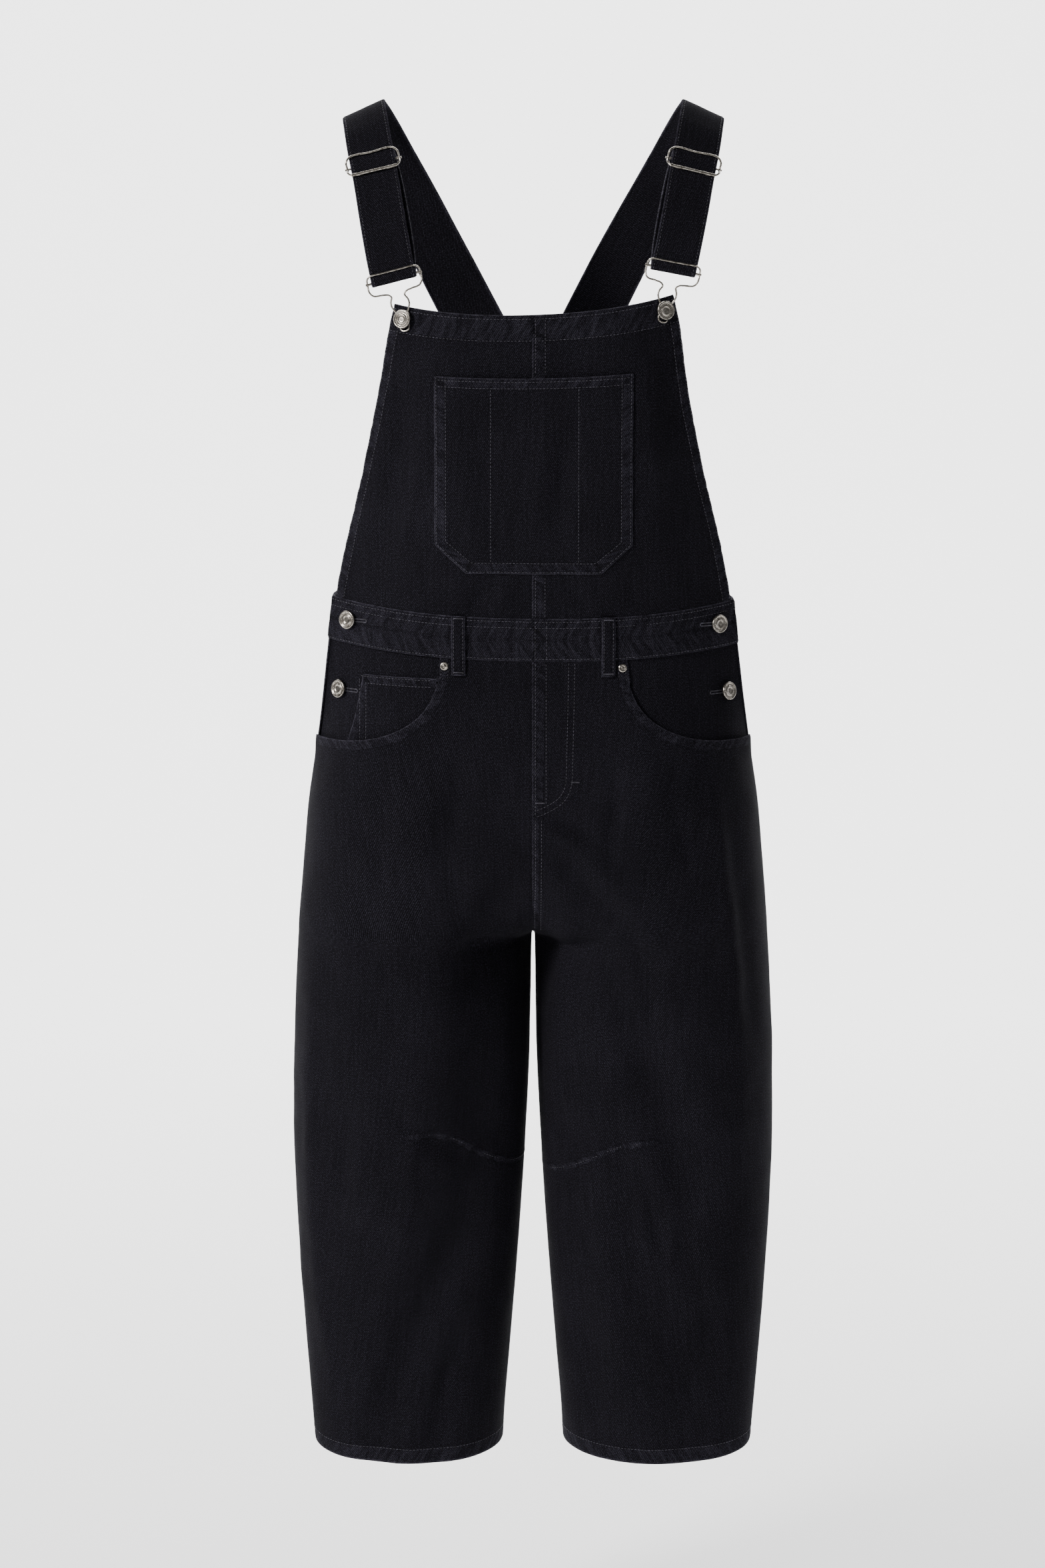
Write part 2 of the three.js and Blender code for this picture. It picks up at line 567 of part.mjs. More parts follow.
function addLoop(name, side, face, x, top) {
  const columns = face === 'back' ? 4 : 2;
  addPanel(name, columns, LOOP_ROWS.length - 1, (i, j) => {
    const z = top - LOOP_ROWS[j].down;
    const away = x + (i / columns - 0.5) * LOOP.width;
    return { side: Math.sign(away) * side || side, s: shareAt(face, z, Math.abs(away)), z };
  }, (i, j) => [LOOP_ROWS[j].off + LOOP.thick, LOOP_ROWS[j].off]);
}

function addLoops() {
  const topGap = 0.5;
  for (const { name, sign } of SIDES) {
    const top = waistTop(shareAt('front', WAIST.topCentre, LOOP.x)) + topGap;
    addLoop(`belt_loop_front_${name}`, sign, 'front', LOOP.x, top);
  }
  addLoop('belt_loop_back', 1, 'back', 0, waistTop(2) + topGap);
}

// Straps
function strapFrames() {
  const curve = new THREE.CatmullRomCurve3(STRAP_PATH.map((p) => new THREE.Vector3(p.x, p.y, p.z)));
  const last = STRAP_PATH.length - 1;
  const frames = [];
  const steps = 34;
  for (let k = 0; k <= steps; k += 1) {
    const t = k / steps;
    const i = Math.min(last - 1, Math.floor(t * last));
    const local = t * last - i;
    const slope = THREE.MathUtils.degToRad(mix(STRAP_PATH[i].slope, STRAP_PATH[i + 1].slope, local));
    const along = curve.getTangent(t);
    const width = new THREE.Vector3(Math.cos(slope), 0, -Math.sin(slope));
    width.addScaledVector(along, -width.dot(along)).normalize();
    const normal = new THREE.Vector3().crossVectors(along, width).normalize();
    frames.push({
      middle: curve.getPoint(t), along, width, normal,
      half: mix(STRAP_PATH[i].width, STRAP_PATH[i + 1].width, local) / 2,
    });
  }
  return frames;
}

// The strap's stations: its middle line, then round the hook's crossbar and up behind itself
function strapStations(frames) {
  const stations = [...frames];
  const end = frames[frames.length - 1];
  const radius = STRAP.returnGap / 2;
  const turns = 6;
  for (let k = 1; k < turns; k += 1) {
    const angle = Math.PI * k / turns;
    const centre = end.middle.clone().addScaledVector(end.normal, -radius);
    const normal = end.normal.clone().multiplyScalar(Math.cos(angle));
    normal.addScaledVector(end.along, Math.sin(angle));
    stations.push({ ...end, middle: centre.addScaledVector(normal, radius), normal });
  }
  const returnStart = Math.round(SLIDER_AT * (frames.length - 1)) - 1;
  for (let k = frames.length - 1; k >= returnStart; k -= 1) {
    const f = frames[k];
    const turn = Math.PI * (k - returnStart) / (frames.length - 1 - returnStart);
    const shift = STRAP.returnShift * Math.sin(turn);
    const middle = f.middle.clone()
      .addScaledVector(f.normal, -STRAP.returnGap).addScaledVector(f.width, -shift);
    stations.push({ ...f, middle, normal: f.normal.clone().negate() });
  }
  return stations;
}

function addStrap(name, sign) {
  const stations = strapStations(strapFrames());
  const columns = 2;
  const geometry = wallGeometry(columns, stations.length - 1, (i, j, face) => {
    const station = stations[j];
    const across = (2 * i / columns - 1) * station.half;
    const out = (face === 0 ? 0.5 : -0.5) * STRAP.thick;
    const point = station.middle.clone().addScaledVector(station.width, across);
    point.addScaledVector(station.normal, out);
    point.x *= sign;
    return lean(point);
  });
  addPiece(name, geometry, DENIM);
}

// Metal
const UP_Y = new THREE.Vector3(0, 1, 0);

function solidOf(geometry) {
  const plain = geometry.clone();
  plain.deleteAttribute('normal');
  plain.deleteAttribute('uv');
  const merged = mergeVertices(plain, 1e-4);
  return new wasm.Manifold(new wasm.Mesh({
    numProp: 3,
    vertProperties: merged.attributes.position.array,
    triVerts: merged.index.array,
  }));
}

function joined(geometries) {
  const mesh = geometries.map(solidOf).reduce((a, b) => a.add(b)).getMesh();
  const geometry = new THREE.BufferGeometry();
  geometry.setAttribute('position', new THREE.BufferAttribute(mesh.vertProperties, 3));
  geometry.setIndex(new THREE.BufferAttribute(mesh.triVerts, 1));
  geometry.computeVertexNormals();
  return geometry;
}

// Round wire bent into a closed loop through the given points
function wireLoop(points, radius, steps) {
  const curve = new THREE.CatmullRomCurve3(points, true, 'centripetal');
  const frames = curve.computeFrenetFrames(steps, true);
  const positions = [];
  for (let k = 0; k < steps; k += 1) {
    const middle = curve.getPointAt(k / steps);
    for (let i = 0; i < WIRE.sides; i += 1) {
      const angle = 2 * Math.PI * i / WIRE.sides;
      const point = middle.clone()
        .addScaledVector(frames.normals[k], radius * Math.cos(angle))
        .addScaledVector(frames.binormals[k], radius * Math.sin(angle));
      positions.push(...point.toArray());
    }
  }
  const at = (k, i) => (k % steps) * WIRE.sides + (i % WIRE.sides);
  const index = [];
  for (let k = 0; k < steps; k += 1) {
    for (let i = 0; i < WIRE.sides; i += 1) {
      index.push(at(k, i), at(k + 1, i), at(k + 1, i + 1), at(k, i), at(k + 1, i + 1), at(k, i + 1));
    }
  }
  return facingOut(positions, index);
}

// Straight round bar from one point to another
function barBetween(from, to, radius) {
  const bar = new THREE.CylinderGeometry(radius, radius, from.distanceTo(to), 8);
  const direction = to.clone().sub(from).normalize();
  bar.applyQuaternion(new THREE.Quaternion().setFromUnitVectors(UP_Y, direction));
  const middle = from.clone().add(to).multiplyScalar(0.5);
  bar.translate(middle.x, middle.y, middle.z);
  return bar;
}

// Local frame of a metal piece: x across, y up along the cloth, z out from it
function frameMatrix(origin, up, out) {
  const across = new THREE.Vector3().crossVectors(up, out).normalize();
  const square = new THREE.Vector3().crossVectors(out, across).normalize();
  return new THREE.Matrix4().makeBasis(across, square, out.clone().normalize()).setPosition(origin);
}

// Place and outward direction on the garment, with its folds and lean
function spotOn(side, face, x, z, offset) {
  const s = shareAt(face, z, x);
  const origin = garmentPoint(side, s, z, offset);
  const out = outward(s, z);
  out.x *= side;
  return { origin, out };
}

function turned(profile, segments) {
  const lathe = new THREE.LatheGeometry(profile.map(([r, h]) => new THREE.Vector2(r, h)), segments);
  lathe.rotateX(Math.PI / 2);
  return lathe;
}

// Dished disc with a rim and an inner ring on a short stem
function buttonGeometry(standoff) {
  const r = BUTTON.radius;
  const top = standoff + BUTTON.height;
  return turned([
    [0, 0], [BUTTON.stem, 0], [BUTTON.stem, standoff], [r - 1, standoff], [r, standoff + 1],
    [r, top - 0.7], [r - 0.7, top], [r - 1.7, top - 0.8], [r * 0.52, top - 0.7], [r * 0.46, top],
    [r * 0.36, top - 0.7], [0, top - 0.7],
  ], 18);
}

function rivetGeometry() {
  const r = RIVET.radius;
  const h = RIVET.height;
  return turned([
    [0, 0], [r, 0], [r, 0.5], [r - 1, h * 0.7], [RIVET.nub + 0.3, h * 0.55], [RIVET.nub, h], [0, h],
  ], 14);
}

function addPlaced(name, geometry, matrix) {
  const mesh = addPiece(name, geometry, NICKEL);
  mesh.applyMatrix4(matrix);
}

const UP = new THREE.Vector3(0, 0, 1);
const BUTTON_SPOTS = [
  { name: 'side_button_upper', x: 169.5, z: -476.5, onBand: true },
  { name: 'side_button_lower', x: 180.5, z: -540.5, onBand: false },
];
const BIB_BUTTON = { x: 117.6, z: -192, stem: 2.7 };
const RIVET_SPOT = { x: 81.5, z: -513.5 };

function addButtonsAndRivets() {
  for (const { name, sign } of SIDES) {
    for (const spot of BUTTON_SPOTS) {
      const under = spot.onBand ? BAND_PROUD : -facingDepth(sign);
      const { origin, out } = spotOn(sign, 'front', spot.x, spot.z, under + GAP);
      addPlaced(`${spot.name}_${name}`, buttonGeometry(0.8), frameMatrix(origin, UP, out));
    }
    const rivet = spotOn(sign, 'front', RIVET_SPOT.x, RIVET_SPOT.z, 2 * GAP);
    addPlaced(`rivet_${name}`, rivetGeometry(), frameMatrix(rivet.origin, UP, rivet.out));
    const bib = spotOn(sign, 'front', BIB_BUTTON.x, BIB_BUTTON.z, GAP);
    addPlaced(`bib_button_${name}`, buttonGeometry(BIB_BUTTON.stem), frameMatrix(bib.origin, UP, bib.out));
  }
}

// The hook's wire runs from the frame of the strap's end into the frame of the bib's button
function hookPoints(sign) {
  const { origin, out } = spotOn(sign, 'front', BIB_BUTTON.x, BIB_BUTTON.z, 0);
  const end = strapFrames().at(-1);
  const bar = end.middle.clone().addScaledVector(end.normal, -STRAP.returnGap / 2);
  const high = frameMatrix(bar, end.along.clone().negate(), end.normal);
  const onStrap = (a, b, n) => {
    const point = new THREE.Vector3(a * sign, b - HOOK_BAR.b, n - HOOK_BAR.n).applyMatrix4(high);
    point.x *= sign;
    return lean(point);
  };
  const low = frameMatrix(origin, onStrap(0, HOOK_BAR.b, HOOK_BAR.n).sub(origin), out);
  return (a, b, n) => {
    const share = THREE.MathUtils.smoothstep(b, 0, HOOK_BAR.b - 6);
    return new THREE.Vector3(a, b, n).applyMatrix4(low).lerp(onStrap(a, b, n), share);
  };
}

function hookGeometry(sign) {
  const place = hookPoints(sign);
  const points = HOOK_WIRE.map((p) => place(p.a, p.b, p.n));
  for (let k = HOOK_WIRE.length - 2; k > 0; k -= 1) {
    points.push(place(-HOOK_WIRE[k].a, HOOK_WIRE[k].b, HOOK_WIRE[k].n));
  }
  const ends = [-1, 1].map((end) => place(end * HOOK_BAR.half, HOOK_BAR.b, HOOK_BAR.n));
  return joined([wireLoop(points, WIRE.hook, WIRE.hookSteps), barBetween(ends[0], ends[1], WIRE.crossbar)]);
}

// The slider's frame lies in front of the strap, and its crossbar behind the front layer
function sliderGeometry() {
  const { half, up, down, corner, bar, pin, crossbar, bend } = SLIDER_FRAME;
  const proud = crossbar + STRAP.thick + 2 * GAP + WIRE.slider + bend;
  const inner = half - corner;
  const low = corner - down;
  const high = up - corner;
  const points = [
    [0, up, proud], [inner, up, proud], [half, high, proud - 1.4],
    [half, 0, 0.4], [half, low, proud - 1.4],
    [inner, -down, proud], [0, -down, proud], [-inner, -down, proud], [-half, low, proud - 1.4],
    [-half, 0, 0.4], [-half, high, proud - 1.4], [-inner, up, proud],
  ].map((p) => new THREE.Vector3(...p));
  const barZ = proud + bar - WIRE.slider;
  return joined([
    wireLoop(points, WIRE.slider, WIRE.sliderSteps),
    barBetween(new THREE.Vector3(-pin, 0, 0), new THREE.Vector3(pin, 0, 0), crossbar),
    barBetween(new THREE.Vector3(-inner - 1, -down, barZ), new THREE.Vector3(inner + 1, -down, barZ), bar),
  ]);
}

function addHooksAndSliders() {
  const frames = strapFrames();
  const frame = frames[Math.round(SLIDER_AT * (frames.length - 1))];
  const behind = STRAP.thick / 2 + GAP + SLIDER_FRAME.crossbar;
  for (const { name, sign } of SIDES) {
    addPiece(`hook_${name}`, hookGeometry(sign), NICKEL);
    const origin = frame.middle.clone().addScaledVector(frame.normal, -behind);
    const out = frame.normal.clone();
    const up = frame.along.clone().negate();
    for (const v of [origin, out, up]) v.x *= sign;
    addPlaced(`slider_${name}`, sliderGeometry(), frameMatrix(lean(origin), up, out));
  }
}

addTrousers();
addWaistband();
addBib();
addBibPocket();
addBackBib();
addLoops();
for (const { name, sign } of SIDES) addStrap(`strap_${name}`, sign);
addButtonsAndRivets();
addHooksAndSliders();

export default part;
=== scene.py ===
"""Denim dungarees, filled out as when worn: cloth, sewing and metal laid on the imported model.

The garment's outside is a surface over two numbers: s runs round the body, from the centre front or
inseam (0) over the side seam (1) to the centre back or inseam (2), and z is the height. Sizes in the
tables are millimetres, as in the model's source; meshes are metres.
"""
import math

import bmesh
import bpy
import numpy as np
from bpy.props import FloatProperty, FloatVectorProperty, PointerProperty
from mathutils import Matrix, Vector


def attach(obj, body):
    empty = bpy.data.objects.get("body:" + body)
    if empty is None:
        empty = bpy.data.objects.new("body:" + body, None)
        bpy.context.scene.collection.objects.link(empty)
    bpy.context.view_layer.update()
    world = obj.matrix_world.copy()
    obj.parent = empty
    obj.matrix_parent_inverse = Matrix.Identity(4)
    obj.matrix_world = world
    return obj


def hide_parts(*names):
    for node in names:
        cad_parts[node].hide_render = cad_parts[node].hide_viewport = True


bl_info = {
    "name": "Denim dungarees",
    "version": (1, 0, 0),
    "blender": (4, 5, 0),
    "location": "3D View > Sidebar > Dungarees",
    "description": "Builds a pair of filled-out denim dungarees on their packed model",
    "category": "Add Mesh",
}

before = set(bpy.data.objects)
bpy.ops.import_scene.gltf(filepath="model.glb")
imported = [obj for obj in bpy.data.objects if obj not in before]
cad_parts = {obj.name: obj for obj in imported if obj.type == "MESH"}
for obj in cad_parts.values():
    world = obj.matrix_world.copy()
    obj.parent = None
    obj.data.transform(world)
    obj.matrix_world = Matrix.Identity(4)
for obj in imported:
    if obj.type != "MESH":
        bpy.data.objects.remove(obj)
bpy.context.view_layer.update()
MM = 0.001

# Sizes that the solids share, from the model's source
CLOTH = 1.2
GAP = 0.3
SEAM = 0.02      # sewn edges meet here, where the solids stay apart
TUCK = 1.0       # cloth hidden inside the waistband
LAP = 1.3        # reach of the upper half over the lower one at the centre seam
LAYER_GAP = 0.45
COIN_CLOTH = 1.0
BAND_PROUD = 0.9
BAND_THICK = 2.5
HEM_FOLD = 13.0
HEM_SIDE_Z = -1268.0
HEM_TILT = 0.167
HEM_BLEND_TOP = -1130.0
CURVE_POWER = 2 / 2.2
WAIST = {"top_centre": -469.0, "top_side": -455.5, "bottom_centre": -508.0, "bottom_side": -496.0,
         "back": 3.0}
BIB = {"top_centre": -191.0, "top_side": -178.0, "hem": 24.0}
MOUTH = {"inner": 86.0, "outer": 200.0, "top": -506.0, "depth": 80.0, "power": 2.5}
FACING_BOTTOM = -604.0
COIN = {"inner": 90.0, "outer": 163.0, "top": -525.0, "bottom": -600.0}
STAND = {"inner": 152.0, "top": -474.0, "bottom": -600.0}
POCKET = {"half": 90.0, "top": -245.0, "dip": 3.0, "chamfer_top": -400.0, "bottom": -427.0,
          "bottom_half": 61.5, "clear": 0.7, "loose": 1.0}
BACK_PEAK = {"z": -258.5, "shoulder_z": -282.5}
LOOP = {"width": 12.5, "x": 68.5, "thick": 1.8}
STRAP = {"thick": 2.2, "return_gap": 5.2, "return_shift": 3.5}
LEG_BLOCK_TOP = -645.0
CROTCH_Z = -776.0        # the legs part below this height
FLY_BOTTOM = -652.0
FLY_LAP = 11.5           # double cloth beside the fly
RISE_LAP = 7             # double cloth beside the front seam under the fly
BAND_SPAN = 220.0        # the waistband from a centre seam to a side
TWILL_SLANT = 32         # degrees
SEED = 41
TILE = 64                # the unevenness repeats after this many units
STRAP_PARTS = 34
CENTRE_ROW = 1.8         # the first row of stitches beside the centre seams
HOLE = {"reach": 15, "pitch": 0.5, "side": 34, "end": 9}
TACK = {"pitch": 0.7, "half": 1.1}
PAPER = {"half": 6.0, "rise": 7.0, "curve": 3.0}     # metres


def table(names, rows):
    """Columns of a table by name, as arrays."""
    return {name: np.array(values, float) for name, values in zip(names, zip(*rows))}


SECTIONS = table(
    ("z", "side", "apex", "front", "back", "front_edge", "back_edge", "seam", "bend", "inner", "round",
     "split"),
    (
        (-150, 156, 48, 96, 100, 96, 100, 50, 0.6, 0, 0, 0.26),
        (-190, 158.5, 48, 101, 101, 101, 101, 50, 0.6, 0, 0, 0.26),
        (-250, 165, 50, 107, 102, 107, 102, 48, 0.5, 0, 0, 0.26),
        (-330, 173, 50, 109, 100, 109, 100, 46, 0.4, 0, 0, 0.26),
        (-400, 180, 50, 102, 95, 102, 95, 42, 0.25, 0, 0, 0.26),
        (-465, 186, 52, 91, 90, 91, 90, 38, 0.1, 0, 0, 0.26),
        (-504, 190.5, 56, 92.5, 94, 92.5, 94, 36, 0.1, 0, 0, 0.27),
        (-560, 197.3, 66, 100, 105, 99.5, 104.5, 28, 0.4, 0, 0, 0.31),
        (-600, 203, 78, 106.5, 117, 105.5, 116, 18, 0.75, 0, 0, 0.355),
        (-650, 210.5, 90, 115, 130, 112.5, 127, 6, 1, 0, 0, 0.41),
        (-700, 215, 98, 119, 137, 108, 123, 0, 1, 0, 0, 0.445),
        (-735, 218, 101, 118, 136, 91, 106, 0, 1, 0, 0, 0.46),
        (-758, 219.8, 103, 116, 133, 65, 77, 0, 1, 0, 0, 0.47),
        (-770, 220.5, 104, 115, 131, 34, 40, 0, 1, 0, 0, 0.474),
        (-775, 220.7, 104, 114.5, 130, 9, 10, 0, 1, 0.4, 0.02, 0.476),
        (-779, 221, 105, 114, 129, 0, 0, 0, 1, 0.9, 0.06, 0.478),
        (-800, 222.2, 106, 112, 126, 0, 0, 0, 1, 1.2, 0.3, 0.484),
        (-844, 224.3, 109, 107, 118, 0, 0, 0, 1, 2.2, 0.75, 0.493),
        (-900, 226, 113, 101, 107, 0, 0, 0, 1, 3.6, 1, 0.5),
        (-960, 226.7, 116, 96, 98, 0, 0, 0, 1, 6.5, 1, 0.5),
        (-1020, 225.3, 117, 90, 91, 0, 0, 0, 1, 10, 1, 0.5),
        (-1100, 221.2, 118, 81, 82, 0, 0, 0, 1, 15.7, 1, 0.5),
        (-1180, 215.6, 118, 73, 74, 0, 0, 0, 1, 22, 1, 0.5),
        (-1240, 210.6, 117, 68, 68, 0, 0, 0, 1, 27, 1, 0.5),
        (-1300, 205.5, 116, 64, 64, 0, 0, 0, 1, 30, 1, 0.5),
    ),
)
BIB_EDGE = table(("z", "x"), (
    (-177, 126.6), (-209, 133.6), (-258, 141.0), (-307, 150.9), (-357, 161.6), (-408, 173.9), (-440, 180.2),
    (-466, 184.6),
))
BACK_EDGE = table(("z", "x"), (
    (-282.5, 47.2), (-320, 58), (-360, 75), (-400, 103), (-432, 139), (-456, 184.6),
))
LEAN = table(("z", "lift"), (
    (0, 0), (-70, 0), (-150, 0.03), (-190, 0.033), (-250, 0.012), (-330, 0), (-440, -0.008), (-500, -0.012),
    (-580, 0), (-1300, 0),
))

# The largest folds: side, face, then each row's height, distance from the centre line, depth, width
FOLD_COLUMNS = ("z", "x", "depth", "width")
FOLDS = (
    (-1, "front", table(FOLD_COLUMNS, (
        (-760, 62, 0, 34), (-850, 51, 4, 32), (-980, 53, 5.5, 30), (-1090, 82, 7, 26),
        (-1180, 121, 6, 24), (-1285, 152, 2.5, 22)))),
    (-1, "front", table(FOLD_COLUMNS, ((-1120, 70, 0, 20), (-1210, 84, 3, 18), (-1285, 98, 1.5, 18)))),
    (1, "front", table(FOLD_COLUMNS, (
        (-720, 40, 0, 26), (-800, 75, 4.5, 26), (-900, 111, 6, 28), (-1000, 143, 6, 28),
        (-1090, 130, 5.5, 30), (-1200, 146, 4, 28), (-1285, 148, 1.5, 24)))),
    (-1, "back", table(FOLD_COLUMNS, (
        (-770, 50, 0, 30), (-880, 70, 5, 30), (-1010, 112, 7, 28), (-1140, 132, 5, 26),
        (-1270, 140, 1.5, 24)))),
    (1, "back", table(FOLD_COLUMNS, (
        (-780, 58, 0, 30), (-900, 62, 5, 28), (-1020, 90, 6.5, 28), (-1150, 124, 5.5, 26),
        (-1270, 134, 2, 24)))),
)

FOLD_STRENGTH = 1.6
CREASE_STRENGTH = 2.0

# Smaller creases in the cloth alone: face, depth (a ridge where negative), width, points (x, z)
CREASES = (
    ("front", -2.4, 11, ((12, -700), (34, -738), (30, -790), (24, -850), (24, -930))),
    ("front", 3.2, 13, ((30, -690), (57, -723), (86, -752), (106, -800), (112, -860))),
    ("front", -1.4, 9, ((50, -690), (84, -726), (112, -775))),
    ("front", 1.8, 8, ((8, -650), (26, -655), (44, -661), (58, -674))),
    ("front", -1.6, 7, ((9, -662), (26, -667), (42, -673))),
    ("front", 1.5, 9, ((78, -608), (76, -640), (70, -672), (74, -700))),
    ("front", 1.6, 12, ((126, -600), (132, -650), (150, -720))),
    ("front", -1.6, 10, ((160, -600), (172, -680), (186, -800), (194, -900), (192, -1000))),
    ("front", 1.2, 10, ((182, -640), (196, -760), (204, -880))),
    ("front", 2.8, 16, ((-6, -690), (-24, -720), (-48, -760), (-56, -830))),
    ("front", -1.6, 12, ((-4, -730), (-20, -790), (-22, -880), (-26, -960))),
    ("front", 1.4, 12, ((-70, -610), (-78, -680), (-66, -760))),
    ("front", 1.3, 14, ((-136, -612), (-146, -700), (-158, -800))),
    ("front", -1.6, 9, ((-206, -800), (-209, -900), (-208, -1020), (-200, -1130), (-186, -1230))),
    ("front", -1.3, 12, ((-104, -880), (-112, -960), (-124, -1060), (-150, -1160))),
    ("front", 2.0, 10, ((-128, -930), (-110, -950), (-80, -962), (-58, -984))),
    ("front", 1.6, 8, ((100, -985), (112, -1036), (120, -1075))),
    ("front", -1.5, 10, ((120, -990), (134, -1034), (128, -1080), (142, -1130))),
    ("front", 1.8, 12, ((84, -970), (91, -1039), (100, -1102), (116, -1160))),
    ("front", -1.8, 14, ((60, -930), (62, -1040), (74, -1130), (90, -1230))),
    ("front", 1.4, 10, ((44, -1100), (52, -1180), (60, -1262))),
    ("front", 1.8, 12, ((146, -1060), (168, -1130), (176, -1220))),
    ("front", 1.6, 9, ((-62, -1140), (-80, -1200), (-92, -1262))),
    ("front", 1.6, 12, ((-174, -900), (-180, -1010), (-176, -1100))),
    ("front", 1.3, 14, ((110, -200), (124, -262), (136, -330), (140, -400), (150, -452))),
    ("front", 1.4, 14, ((-108, -205), (-120, -262), (-122, -330), (-136, -410), (-146, -452))),
    ("front", -1.3, 12, ((-124, -225), (-140, -330), (-160, -425))),
    ("front", -1.0, 12, ((100, -240), (112, -330), (120, -430))),
    ("front", 1.3, 9, ((-36, -430), (-48, -448), (-62, -466))),
    ("front", 1.2, 8, ((26, -430), (38, -446), (50, -464))),
    ("front", -0.9, 7, ((-20, -432), (-28, -450), (-34, -466))),
    ("front", 1.0, 8, ((84, -425), (92, -444), (104, -460))),
    ("front", 1.0, 10, ((-88, -300), (-100, -370), (-104, -440))),
    ("front", 1.2, 11, ((30, -300), (26, -350), (14, -400))),
    ("front", -1.2, 14, ((10, -262), (8, -330), (4, -390))),
    ("front", 1.0, 11, ((-52, -290), (-44, -350), (-30, -404))),
    ("back", 3.0, 14, ((-40, -740), (-78, -765), (-120, -770))),
    ("back", 2.8, 14, ((44, -745), (84, -768), (124, -766))),
    ("back", 2.0, 12, ((-30, -775), (-70, -800), (-120, -815))),
    ("back", 2.2, 12, ((34, -780), (76, -808), (122, -818))),
    ("back", 1.6, 12, ((-60, -560), (-92, -620), (-130, -660))),
    ("back", 1.6, 12, ((64, -556), (96, -622), (134, -668))),
    ("back", -1.6, 12, ((-96, -900), (-124, -1000), (-150, -1110))),
    ("back", -1.6, 12, ((92, -910), (120, -1010), (148, -1120))),
    ("back", 1.6, 14, ((-170, -640), (-182, -760), (-190, -900))),
    ("back", 1.6, 14, ((168, -650), (184, -770), (190, -890))),
    ("back", 1.5, 10, ((-40, -330), (-52, -390), (-60, -446))),
    ("back", 1.5, 10, ((36, -340), (46, -396), (60, -448))),
    ("back", 2.0, 12, ((-84, -980), (-118, -1010), (-160, -1030))),
    ("back", 2.0, 12, ((86, -990), (124, -1014), (162, -1036))),
)

STRAP_PATH = table(("x", "y", "z", "slope", "width"), (
    (23.6, 100.6, -270.5, 27, 53), (50, 99.5, -219, 27, 53), (78, 95, -164, 27, 52),
    (107, 84, -107, 27, 49),
    (131, 65, -59, 26, 45), (147, 40, -26, 25, 42.5), (154.5, 17, -12.5, 25, 42), (155.6, -4, -10, 24, 42),
    (153, -24, -22, 22, 42), (149, -41, -43, 18, 42), (143.6, -57, -68, 14, 41.5),
    (137.2, -73, -103, 12, 41.5),
    (130.5, -85, -137, 12, 41.5), (126.6, -90, -154.5, 12, 41.5),
))
SLIDER_AT = 0.735
HOOK_BAR = {"b": 37.6, "n": 2.9, "half": 26.0}
HOOK_WIRE = (
    (0, 43.6, 7.8), (10, 43.6, 7.8), (20.5, 43.4, 7.8), (23.8, 41.2, 6), (24.4, 37.6, 2.9),
    (24.2, 30.5, 2.4),
    (21.5, 26.4, 2.3), (14, 25.2, 2.2), (8.4, 24, 2.1), (6.2, 21.4, 2), (8.2, 17, 1.8), (8.6, 12.6, 1.6),
    (6.4, 8, 1.4), (3.8, 3.5, 1.4), (3.4, -1, 1.4), (4.6, -5.5, 1.4), (3.6, -9.6, 1.4), (0, -10.8, 1.4),
)
SLIDER_FRAME = {"half": 24.0, "up": 9.4, "down": 10.0, "corner": 4.2, "bar": 1.5, "pin": 26.4,
                "crossbar": 1.0, "bend": 0.5}
BUTTON = {"radius": 8.5, "height": 3.2, "stem": 2.0}
RIVET = {"radius": 4.0, "height": 1.6, "nub": 1.3}
WIRE = {"hook": 0.85, "slider": 0.95, "crossbar": 1.2}
BUTTON_SPOTS = (("side_button_upper", 169.5, -476.5, True), ("side_button_lower", 180.5, -540.5, False))
BIB_BUTTON = {"x": 117.6, "z": -192.0, "stem": 2.7}
RIVET_SPOT = {"x": 81.5, "z": -513.5}
SIDES = (("left", 1), ("right", -1))

# The photograph's camera: distance in front, height, tilt, focal length in its pixels
CAMERA = {"x": -0.010, "y": -4.5, "z": 0.100, "tilt": 9.3, "focal_px": 7290.0, "long_px": 2352.0}


# Smooth curves through table columns

def column(rows, name, z):
    """Monotone curve through one column of a table whose rows run down in z."""
    heights, values = rows["z"], rows[name]
    rise = np.diff(values) / np.diff(heights)
    before, after = rise[:-1], rise[1:]
    same = before * after > 0
    middle = np.where(same, 2 * before * after / np.where(same, before + after, 1), 0)
    tangent = np.concatenate(([rise[0]], middle, [rise[-1]]))
    z = np.clip(z, heights[-1], heights[0])
    i = np.clip(np.searchsorted(-heights, -z, side="right") - 1, 0, len(heights) - 2)
    span = heights[i + 1] - heights[i]
    t = (z - heights[i]) / span
    return ((2 * t**3 - 3 * t**2 + 1) * values[i] + (t**3 - 2 * t**2 + t) * span * tangent[i]
            + (3 * t**2 - 2 * t**3) * values[i + 1] + (t**3 - t**2) * span * tangent[i + 1])


def mix(a, b, t):
    return a + (b - a) * t


def ease(t):
    t = np.clip(t, 0, 1)
    return t * t * (3 - 2 * t)


# The garment's outside

LEVEL_STEP = 0.5
LEVELS = np.arange(-140.0, -1310.0, -LEVEL_STEP)
SHARES = np.linspace(0, 1, 241)
ARC_STEPS = 60


